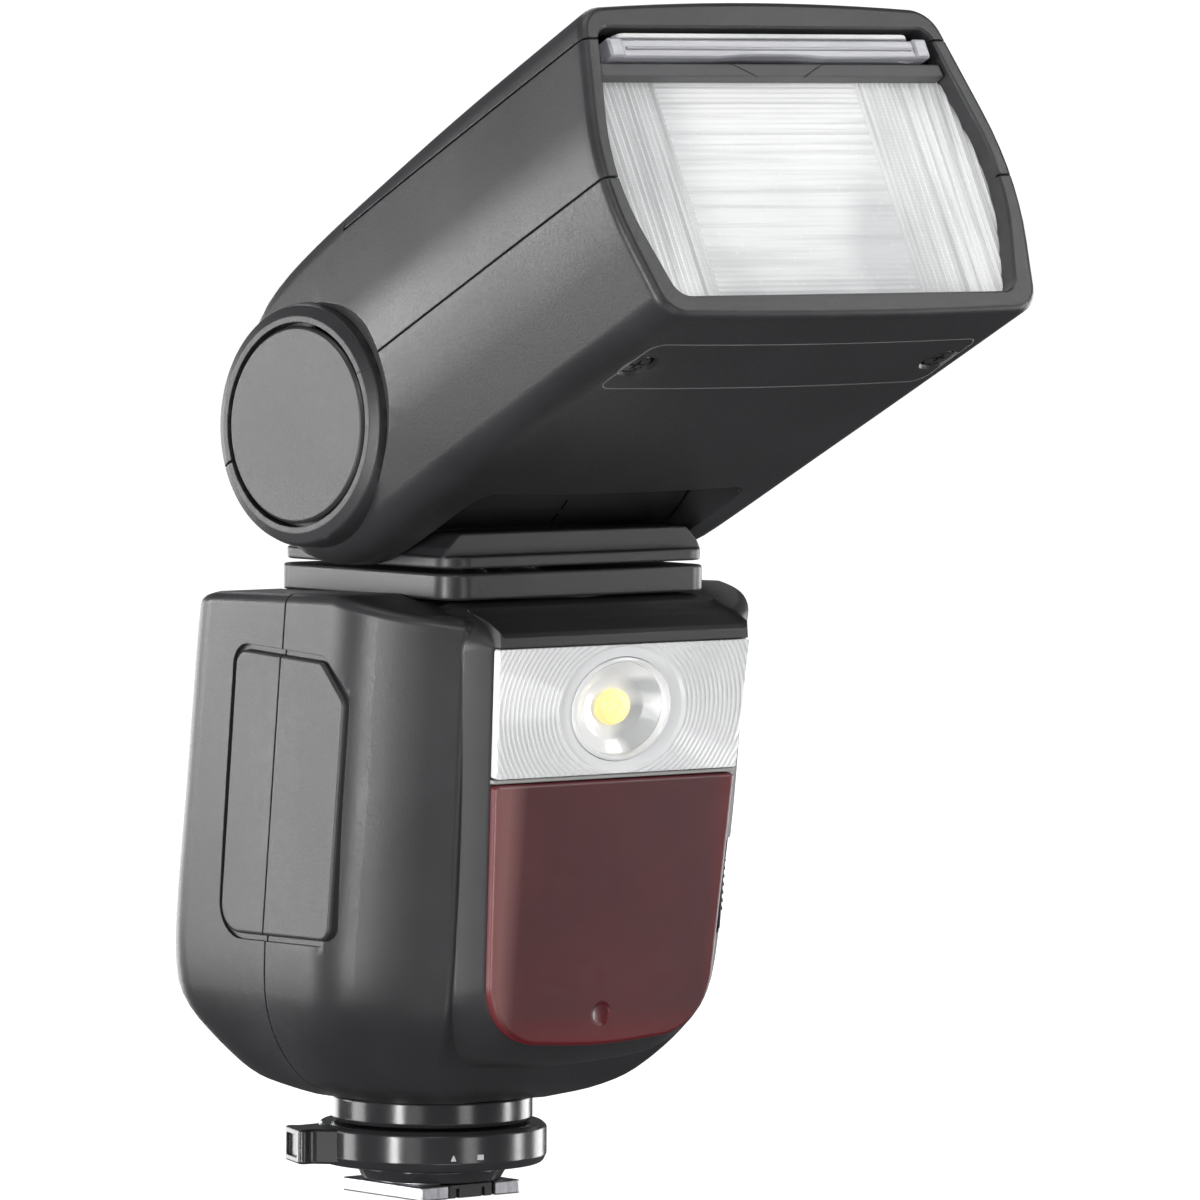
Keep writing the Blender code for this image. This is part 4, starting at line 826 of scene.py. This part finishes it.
notches = [block(f"front_notch_{k}", (x - 0.35, x + 0.35), (-10, -8.4), (-1, 1.4)) for k, x in enumerate((-2.4, 2.4))]
carve(insulator, unite=[insulator_top], cut=[insulator_pocket, *notches, *[disc(f"hole_{i}", r + 0.3, -1, 5, at=(x, y, 0), n=32) for i, (x, y, r) in enumerate(contacts)]])
place_piece(insulator, "body", "rubber", "rubber", "contact_block")
pins = block("contact_pins_fine", (-3.3, 3.3), (-4.9, 3.7), (4.2, 5.0), 0.1)
carve(pins, unite=[disc(f"pin_{i}", r, -0.45, 4.5, at=(x, y, 0), n=32, edge=0, low_edge=0.25) for i, (x, y, r) in enumerate(contacts)])
place_piece(pins, "contact_pins", "gold", "metal", "contact_pins")
ring = lathe("lock_ring_fine", [(10.6, 4.6, 0.2), (16.3, 4.6, 0.9), (16.9, 5.9, 0.5), (16.9, 9.9, 0.5), (16.2, 10.5, 0.3), (10.6, 10.5, 0.2)], n=112)
lever = pillow("lever", [(-21.5, -4.3, 1.0), (-21.5, 4.3, 1.0), (-19.4, 3.4, 1.6), (-14.0, 6.0, 0.6), (-14.0, -6.0, 0.6), (-19.4, -3.4, 1.6)], 5.0, 10.1, 0.4, "Z", Matrix.Rotation(radians(-21), 4, "Z"), 6)
thumb = pillow("thumb", rect(5.9, 9.2, -2.6, 2.6, 0.3), -24, -21.0, 0, "X", Matrix.Rotation(radians(-21), 4, "Z") @ Matrix(((1, 0, 0, 0), (0, 0, 1, 0), (0, 1, 0, 0), (0, 0, 0, 1))))
carve(ring, unite=[lever], cut=[thumb])
place_piece(ring, "lock_ring", "ring", "rubber", "lock_ring")
for i, a in enumerate((-118, -104)):
    here = Matrix.Rotation(radians(a), 4, "Z")
    mark = pillow(f"lock_mark_{i}", [(6.4, -0.5, 0.1), (6.4, 0.5, 0.1), (7.2, 0.5, 0.1), (7.2, -0.5, 0.1)] if i else [(6.3, -0.45, 0.1), (6.3, 0.45, 0.1), (7.3, 0.0, 0.1)], 16.7, 16.94, 0, "X", here @ Matrix(((1, 0, 0, 0), (0, 0, 1, 0), (0, 1, 0, 0), (0, 0, 0, 1))))
    place_piece(mark, "lock_ring", "mark", "white")
peg = disc("lock_pin_fine", 0.75, 0.3, 5.6, at=(-6.6, -4.0, 0), n=32, edge=0.1, low_edge=0.3)
place_piece(peg, "lock_pin", "metal", "metal", "lock_pin")

# ---------------------------------------------------------------- collar and yoke
collar = pillow("swivel_collar_fine", rect(-24.6, 24.6, SWIVEL_Y - 20.5, SWIVEL_Y + 20.5, 4.0), 89.2, 93.0, 0.45, "Z", None, 8)
carve(collar, unite=[disc("spigot", 16.9, 86.4, 90, at=(0, SWIVEL_Y, 0), n=72)], cut=[disc("collar_bore", 8.0, 80, 100, at=(0, SWIVEL_Y, 0))])
place_piece(collar, "body", "rim", "shell", "swivel_collar")


def yoke_blank(name):
    made = pillow(name, rect(-24.4, 24.4, -20.3, 19.9, 4.0), 0.7, 2.5, 0.4, "Z", YOKE_FRAME, 8)
    tongue = pillow("tongue", [(-24.2, 2.0, 0.3), (24.2, 2.0, 0.3), (23.4, 3.6, 1.2), (21.2, 5.7, 1.6), (-21.2, 5.7, 1.6), (-23.4, 3.6, 1.2)], -18.4, 16.0, 0.35, "Y", YOKE_FRAME, 6)
    barrel = disc("barrel", 17.2, -24.4, 24.4, "X", HINGE, 128, YOKE_FRAME, 0.3)
    tools = [
        disc("shaft_bore", 7.9, -5, 12, place=YOKE_FRAME),
        disc("well", 12.6, 2.8, 4.7, place=YOKE_FRAME),
        disc("bore", 14.6, -21.8, 21.8, "X", HINGE, 64, YOKE_FRAME),
        disc("axle_bore", 4.4, -40, 40, "X", HINGE, 40, YOKE_FRAME),
    ]
    # two index dashes on the front of the barrel
    for k, (a, b) in enumerate(((41, 48), (51, 59))):
        slit = [(HINGE[1] - q * cos(radians(t)), HINGE[2] - q * sin(radians(t))) for q, t in ((16.9, a), (20, a), (20, b), (16.9, b))]
        tools.append(loft(f"dash_{k}", [[(x, y, z) for y, z in slit] for x in (1.9, 2.35)], YOKE_FRAME))
    return carve(made, unite=[tongue, barrel], cut=tools)


yoke_front = yoke_blank("yoke_front_fine")
carve(yoke_front, cut=[block("split", (-40, 40), (HINGE[1] - 0.13, 60), (-20, 60), place=YOKE_FRAME)])
place_piece(yoke_front, "yoke", "shell_dark", "shell", "yoke_front_shell")
yoke_rear = yoke_blank("yoke_rear_fine")
carve(yoke_rear, cut=[block("split", (-40, 40), (-60, HINGE[1] + 0.13), (-20, 60), place=YOKE_FRAME)])
place_piece(yoke_rear, "yoke", "shell_dark", "shell", "yoke_rear_shell")

# ---------------------------------------------------------------- head
# distance forward, half widths at the top, middle and bottom, top, bottom, corner radius
HEAD = [
    (-20.0, 27.5, 30.0, 27.5, 6.5, -6.0, 3.0),
    (-17.5, 30.0, 33.5, 30.5, 12.5, -10.6, 4.0),
    (-12.0, 31.2, 36.0, 32.0, 19.0, -16.4, 5.0),
    (-5.0, 31.8, 37.0, 32.6, 23.0, -19.6, 5.5),
    (3.0, 32.0, 37.5, 33.0, 24.6, -20.4, 5.5),
    (20.0, 32.2, 38.1, 33.6, 25.9, -20.3, 5.5),
    (50.0, 32.4, 38.2, 34.2, 27.1, -20.2, 5.0),
    (77.8, 32.5, 38.0, 34.4, 27.6, -20.2, 4.8),
]


def head_outline(v, inwards=0.0, steps=7, crown=1.0):
    t, m, b, top, bottom, r = smooth_read(HEAD, v)
    right = [(b, bottom, r), (m + 1.2, (top + bottom) * 0.15, 46.0), (t, top, r)]
    whole = right + [(-x, w, q) for x, w, q in reversed(right)]
    if inwards:
        whole = inset(whole, inwards)
    line = rounded(whole, steps)
    out = []
    for i, (x, w) in enumerate(line):
        out.append((x, w))
        nx, nw = line[(i + 1) % len(line)]
        if abs(nx - x) > 20:  # the long top and bottom runs get points for their crown
            out += [(x + (nx - x) * k / 12, w + (nw - w) * k / 12) for k in range(1, 12)]
    fade = min(1.0, max(0.0, (v + 20) / 25))
    bent = []
    for x, w in out:
        lift = max(0.0, 1 - (x / (t - r * 0.4)) ** 2) if w > top * 0.9 else 0
        sink = max(0.0, 1 - (x / (b - r * 0.4)) ** 2) if w < bottom * 0.9 else 0
        bent.append((x, w + fade * crown * (1.0 * lift - 0.45 * sink)))
    return bent


def head_blank(name):
    stations = [-20.0, -19.2, -18.4, -17.5, -16.4, -15.2, -13.8, -12.0, -10.0, -7.5, -5.0, -2.0, 1.0, 4.5, 8.0, 12.0, 16.0, 20.0]
    stations += [20.0 + 5.0 * k for k in range(1, 12)] + [76.4]
    sections = [[(x, -v, w) for x, w in head_outline(v)] for v in stations]
    for k in range(1, 6):
        t = radians(90 * k / 5)
        v = 76.4 + 1.4 * sin(t)
        sections.append([(x, -v, w) for x, w in head_outline(v, 1.15 * (1 - cos(t)))])
    return loft(name, sections, HEAD_FRAME)


def hp(name, corners, lo, hi, edge=0.0, low_edge=None, steps=6, arc=4):
    """Corners in (x, w), pushed from v = lo to v = hi; edge is at the front end."""
    return pillow(name, corners, -hi, -lo, low_edge if low_edge is not None else edge, "Y", HEAD_FRAME, steps, arc, low_edge=edge)


def hb(name, x, v, w, edge=0.0, r=0.0):
    return block(name, x, (-v[1], -v[0]), w, edge, r, HEAD_FRAME)


def mirrored(half):
    return half + [(-x, w, r) for x, w, r in reversed(half)]


OPENING = mirrored([(-31.0, -17.0, 3.0), (-36.3, 1.0, 42.0), (-30.4, 24.2, 2.4)])
CAP = {s: HEAD_FRAME @ Matrix.Translation((s * 37.6, 0, 0)) @ Matrix.Rotation(s * radians(90), 4, "Y") @ Matrix.Rotation(radians(4.4), 4, "X") for s in (-1, 1)}


def front_tools():
    return [
        hp("mouth", OPENING, 70, 78.6, -1.1, 0, 8),
        loft("head_cavity", [[(x, -v, w) for x, w in head_outline(v, 2.0, 3, 0.0)] for v in (20.6, 35.0, 50.0, 62.0, 75.0)], HEAD_FRAME),
    ]


def head_tools():
    tools = front_tools()
    for i, (first, last, reach) in enumerate(((-40.5, -140, 28.4), (-131, -261, 29.9))):
        fan = [(0.1 * i, 0, 0)]
        fan += [(-reach * cos(radians(first + (last - first) * k / 20)), reach * sin(radians(first + (last - first) * k / 20)), 0) for k in range(21)]
        tools.append(pillow(f"pedestal_room_{i}", fan, -24.96 - 0.02 * i, 24.96 + 0.02 * i, 2.6 if i == 0 else 0, "X", HEAD_FRAME, arc=6))
    tools.append(disc("barrel_room", 17.7, -24.9, 24.9, "X", n=96, place=HEAD_FRAME))
    tools.append(disc("axle_room", 4.4, -33.2, 33.2, "X", n=40, place=HEAD_FRAME))
    tools += [disc(f"cheek_{i}", 14.4, lo, hi, "X", n=48, place=HEAD_FRAME) for i, (lo, hi) in enumerate(((-35.0, -27.4), (27.4, 35.0)))]
    for s in (-1, 1):
        tools.append(lathe(f"cap_room_{s + 1}", [(0, -2.0), (14.65, -2.0), (14.65, 4), (0, 4)], n=96, place=CAP[s]))
    return tools


def scoops():
    """A hollow that runs out from round each hinge boss into the side."""
    line = [(0, 6), (24.0, 6), (23.4, 3.6), (21.6, 1.5), (19.6, 0.0), (18.2, -1.1), (17.4, -2.2), (0, -2.2)]
    return [lathe(f"scoop_{s + 1}", line, n=128, place=CAP[s]) for s in (-1, 1)]


def bosses():
    return [lathe(f"boss_{s + 1}", [(0, -7.0), (17.6, -7.0), (17.45, -1.9), (17.0, -0.75, 0.6), (15.5, -0.1, 0.5), (0, -0.1)], n=128, place=CAP[s]) for s in (-1, 1)]


def head_seams():
    """Open lines 0.34 mm wide where the head's shells meet, 0.6 mm deep: behind them the shells touch, so no light comes through."""
    lines = hb("seam_lines", (-60, 60), (-60, 90), (0.93, 1.27))
    core = loft("seam_core", [[(x, -v, w) for x, w in head_outline(v, 0.6, 4, 0.6)] for v in (-18.8, -17.5, -15.2, -12.0, -7.5, -2.0, 4.5, 12.0, 20.0, 30.0, 40.0, 50.0, 60.0, 70.0, 77.0)], HEAD_FRAME)
    carve(lines, unite=[hb("cover_line", (-60, 60), (17.13, 90), (22.23, 22.57)), hb("cover_end_line", (-60, 60), (17.13, 17.47), (22.4, 60))], cut=[core])
    return lines


upper = head_blank("head_upper_fine")
carve(upper, cut=scoops())
carve(upper, unite=bosses())
carve(upper, cut=[*head_tools(), hb("seam_below", (-60, 60), (-60, 90), (-60, 1.11)), hb("cover_room", (-60, 60), (17.29, 90), (22.39, 60)), head_seams()])
place_piece(upper, "head", "shell", "shell", "head_upper_shell")

lower = head_blank("head_lower_fine")
carve(lower, cut=scoops())
carve(lower, unite=bosses())
label_out = pillow("label_line", inset(rect(-30.0, 30.0, -68.8, -54.7, 2.2), -0.13), -24, -19.6, 0, "Z", HEAD_FRAME, 8)
label_in = pillow("label_in", inset(rect(-30.0, 30.0, -68.8, -54.7, 2.2), 0.13), -26, -19, 0, "Z", HEAD_FRAME, 8)
carve(label_out, cut=[label_in])
label_keep = loft("label_keep", [[(x, -v, w) for x, w in head_outline(v, -0.03)] for v in (50, 52.5, 55, 57.5, 60, 62.5, 65, 67.5, 70)], HEAD_FRAME)
carve(label_out, keep=[label_keep])
place_piece(label_out, "head", "line", "white")
screw_rooms = [lathe(f"screw_room_{s + 1}", [(0, -30), (3.1, -30), (3.1, -20.4), (2.6, -19.9), (2.6, -19.0), (0, -19.0)], at=(s * 28.0, -61.8, 0), n=48, place=HEAD_FRAME) for s in (-1, 1)]
carve(lower, cut=[*head_tools(), hb("seam_above", (-60, 60), (-60, 90), (1.09, 60)), head_seams(), *screw_rooms])
place_piece(lower, "head", "shell", "shell", "head_lower_shell")

top = head_blank("head_cover_fine")
carve(top, cut=[*front_tools(), hb("cover_keep", (-60, 60), (-60, 90), (-60, 22.41)), hb("cover_end", (-60, 60), (-60, 17.31), (-60, 60)), head_seams()])
place_piece(top, "head", "shell", "shell", "head_top_cover")

for s, side in ((-1, "left"), (1, "right")):
    screw = disc(f"head_screw_{side}_fine", 2.2, -20.0, -19.3, at=(s * 28.0, -61.8, 0), n=40, place=HEAD_FRAME, edge=0, low_edge=0.3)
    cross = [block(f"cross_{k}", (s * 28.0 - a, s * 28.0 + a), (-61.8 - b, -61.8 + b), (-21, -19.6), place=HEAD_FRAME) for k, (a, b) in enumerate(((1.3, 0.25), (0.25, 1.3)))]
    carve(screw, cut=cross)
    place_piece(screw, "head", "dark_metal", "metal", f"head_screw_{side}")
    cap = lathe(f"hinge_cap_{side}_fine", [(0, -1.7), (13.85, -1.7), (14.15, -0.5, 0.2), (13.75, -0.02, 0.35), (0, 0.03)], n=128, place=CAP[s], steps=5)
    place_piece(cap, "head", "cap", "shell", f"hinge_cap_{side}")

# the lens: prisms across the middle, and down both sides
LENS = mirrored([(-31.4, -17.5, 3.0), (-36.8, 1.0, 42.0), (-32.9, 17.4, 1.0)])
EDGE_L, EDGE_R = -20.5, 16.5


def corrugated(name, across, lo, hi, first, last, pitch=0.75, rise=0.2, back=71.7, face=74.25):
    """A plate with sharp ridges; across is the axis that the ridges are counted along."""
    count = int(round((hi - lo) / pitch))
    line = []
    for k in range(count):
        a = lo + (hi - lo) * k / count
        line += [(a, face), (a + pitch * 0.5, face + rise)]
    line.append((hi, face))
    line = [(lo, back)] + line + [(hi, back)]
    if across == "x":
        sections = [[(a, -v, b) for a, v in line] for b in (first, last)]
    else:
        sections = [[(b, -v, a) for a, v in line] for b in (first, last)]
    return loft(name, sections, HEAD_FRAME)


lens = corrugated("fresnel_lens_fine", "x", -37.5, EDGE_L + 0.02, -19, 18, 0.95, 0.26)
carve(lens, unite=[corrugated("mid", "w", -18.5, 17.5, EDGE_L - 0.02, EDGE_R + 0.02, 0.8, 0.11), corrugated("right", "x", EDGE_R - 0.02, 37.5, -19, 18, 0.95, 0.26)])
carve(lens, keep=[hp("lens_edge", LENS, 71.8, 75.2, 0)])
place_piece(lens, "head", "lens", "clear", "fresnel_lens", sharp=15)

tray = hb("panel_tray_fine", (-29.8, 29.8), (27.0, 76.6), (17.5, 19.0), 0.2)
tray_walls = hb("tray_walls", (-30.2, 30.2), (27.0, 74.0), (18.5, 22.0), 0.2)
tray_space = hb("tray_space", (-28.6, 28.6), (28.4, 90.0), (19.0, 30.0))
ledge = pillow("ledge", [(-31.75, 17.0, 0.2), (31.75, 17.0, 0.2), (31.5, 19.05, 0.3), (-31.5, 19.05, 0.3)], -76.9, -74.8, 0.1, "Y", HEAD_FRAME, low_edge=0.3)
chevrons = []
for s in (-1, 1):
    line = [(s * 9.4 + 0.8, 19.4, 0), (s * 9.4 + 0.8 + 0.3, 19.4, 0), (s * 3.6 + 0.8 + 0.3, 16.6, 0), (s * 3.6 + 0.8, 16.6, 0)]
    chevrons.append(pillow(f"chevron_{s + 1}", line, -78.5, -76.55, 0, "Y", HEAD_FRAME))
carve(tray, unite=[tray_walls, ledge], cut=[tray_space, *chevrons])
place_piece(tray, "head", "tray", "grey", "panel_tray")

sheet_edge = [(-29.4, 19.6, 0.4), (-29.4, 22.2, 0.4), (-27.0, 22.5, 0.8), (27.0, 22.5, 0.8), (29.4, 22.2, 0.4), (29.4, 19.6, 0.4), (10.0, 19.6, 1.0), (5.0, 19.95, 2.0), (-5.0, 19.95, 2.0), (-10.0, 19.6, 1.0)]
panel = hb("wide_panel_fine", (-27.8, 27.8), (29.0, 76.8), (19.95, 21.05), 0.15, 1.0)
bar = hp("bar", sheet_edge, 75.2, 77.5, 0.35, 0.1, 5)
rib = hp("rib", [(-26.4, 20.75, 0.1), (-26.4, 21.25, 0.1), (26.4, 21.25, 0.1), (26.4, 20.75, 0.1)], 76.9, 77.75, 0.2, 0)
ends = [hp(f"end_{s + 1}", rect(s * 28.2 - 1.3, s * 28.2 + 1.3, 19.55, 22.6, 0.5), 75.0, 77.9, 0.4, 0.1) for s in (-1, 1)]
carve(panel, unite=[bar, rib, *ends])
place_piece(panel, "wide_panel", "clear", "clear", "wide_panel")
card = hb("bounce_card_fine", (-27.2, 27.2), (29.0, 77.3), (22.82, 23.5), 0.12, 1.5)
place_piece(card, "bounce_card", "white", "white", "bounce_card")

# ---------------------------------------------------------------- what stays from the CAD gets its own finish
STAYS = {
    "sensor_baffle": "shell_dark", "af_emitter": "red", "lcd_module": "grey", "main_board": "board", "main_capacitor": "sleeve",
    "battery_contacts": "gold", "sync_socket": "metal", "hinge_axle": "metal", "axle_nut_left": "metal", "axle_nut_right": "metal",
    "swivel_shaft": "metal", "swivel_retaining_ring": "metal", "zoom_motor": "metal", "guide_rod": "metal", "head_board": "board",
    "lead_screw": "metal", "zoom_carriage": "grey", "flash_reflector": "mirror", "flash_tube": "dome",
}
for name, look in STAYS.items():
    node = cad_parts[name]
    for held in node.material_slots:
        held.material = LOOK[look]

# ---------------------------------------------------------------- floor, light, camera
floor_mesh = bpy.data.meshes.new("floor")
size = 6.0
floor_mesh.from_pydata([(-size, -size, -0.0005), (size, -size, -0.0005), (size, size, -0.0005), (-size, size, -0.0005)], [], [(0, 1, 2, 3)])
floor = bpy.data.objects.new("floor", floor_mesh)
scene.collection.objects.link(floor)
pale = Nodes("pale_floor")
mottle = pale.noise(3.0, 2.0)
paper = pale.principled(pale.mix(pale.spread(mottle, 0, 1, 0.3, 0.7), (0.40, 0.40, 0.40), (0.42, 0.42, 0.42)), 0.7, None, Specular_IOR_Level=0.0, Emission_Color=(1, 1, 1, 1), Emission_Strength=1.0)
floor_mesh.materials.append(pale.made)
floor.visible_glossy = False
floor.visible_diffuse = False
floor.visible_transmission = False
floor.visible_shadow = False

world = bpy.data.worlds.new("studio")
scene.world = world
world.use_nodes = True
tree = world.node_tree
tree.nodes.clear()
out = tree.nodes.new("ShaderNodeOutputWorld")
seen, lit = tree.nodes.new("ShaderNodeBackground"), tree.nodes.new("ShaderNodeBackground")
seen.inputs["Color"].default_value = (1, 1, 1, 1)
seen.inputs["Strength"].default_value = 1.1
lit.inputs["Color"].default_value = (0.95, 0.97, 1.0, 1)
lit.inputs["Strength"].default_value = 0.10
which = tree.nodes.new("ShaderNodeLightPath")
both = tree.nodes.new("ShaderNodeMixShader")
tree.links.new(which.outputs["Is Camera Ray"], both.inputs[0])
tree.links.new(lit.outputs[0], both.inputs[1])
tree.links.new(seen.outputs[0], both.inputs[2])
tree.links.new(both.outputs[0], out.inputs[0])


def softbox(name, at, aim, width, height, power, colour=(1, 1, 1)):
    light = bpy.data.lights.new(name, "AREA")
    light.shape = "RECTANGLE"
    light.size, light.size_y = width, height
    light.energy = power
    light.color = colour
    made = bpy.data.objects.new(name, light)
    made.location = at
    made.rotation_euler = (Vector(aim) - Vector(at)).to_track_quat("-Z", "Y").to_euler()
    scene.collection.objects.link(made)
    return made


CENTRE = (0.0, -0.015, 0.09)
softbox("overhead", (-0.1, -0.15, 1.35), CENTRE, 1.0, 0.8, 5.5)
softbox("left_rear", (-0.98, 0.88, -0.02), CENTRE, 0.46, 0.60, 6.2)
softbox("left_rear_high", (-0.62, 1.16, 0.16), CENTRE, 0.34, 0.30, 4.6)
softbox("right_front_high", (0.84, -0.74, 0.84), CENTRE, 0.5, 0.4, 3.2)
softbox("left_strip", (-1.24, -0.30, -0.03), CENTRE, 0.17, 0.7, 10.5)
softbox("left_fill", (-1.12, -0.74, 0.0), CENTRE, 0.34, 0.7, 1.2)
softbox("camera_fill", (-0.80, -1.10, 0.95), CENTRE, 0.6, 0.5, 4.0)
softbox("low_fill", (-0.55, -1.25, -0.9), CENTRE, 0.7, 0.5, 3.2)
softbox("front", (0.0, -1.36, -0.08), CENTRE, 0.34, 0.5, 2.2)
softbox("right_strip", (1.12, -0.70, 0.0), CENTRE, 0.22, 0.7, 7.0)
softbox("right_side", (1.30, 0.16, -0.04), CENTRE, 0.5, 0.6, 6.0)
softbox("rear", (0.30, 1.35, -0.04), CENTRE, 0.9, 0.55, 6.0)
softbox("rear_high", (0.55, 0.95, 1.05), CENTRE, 0.6, 0.6, 3.5)

a, e, roll = radians(39.875), radians(3.245), radians(0.329)
back_way = Vector((-sin(a) * cos(e), -cos(a) * cos(e), sin(e)))
ahead = -back_way
right = ahead.cross(Vector((0, 0, 1))).normalized()
up = right.cross(ahead)
r2, u2 = right * cos(roll) + up * sin(roll), up * cos(roll) - right * sin(roll)
target = Vector((0, -15.0, 0)) + right * 14.646 + Vector((0, 0, 87.820))
eye_at = (target + back_way * 1432.18) * S
lens_data = bpy.data.cameras.new("camera")
lens_data.sensor_width = 36.0
lens_data.lens = 9860.4 * 36.0 / 1200.0
lens_data.clip_start, lens_data.clip_end = 0.01, 50.0
camera = bpy.data.objects.new("camera", lens_data)
camera.matrix_world = Matrix(((r2.x, u2.x, back_way.x, eye_at.x), (r2.y, u2.y, back_way.y, eye_at.y), (r2.z, u2.z, back_way.z, eye_at.z), (0, 0, 0, 1)))
scene.collection.objects.link(camera)
scene.camera = camera
scene.view_settings.view_transform = "Standard"

bpy.context.view_layer.update()
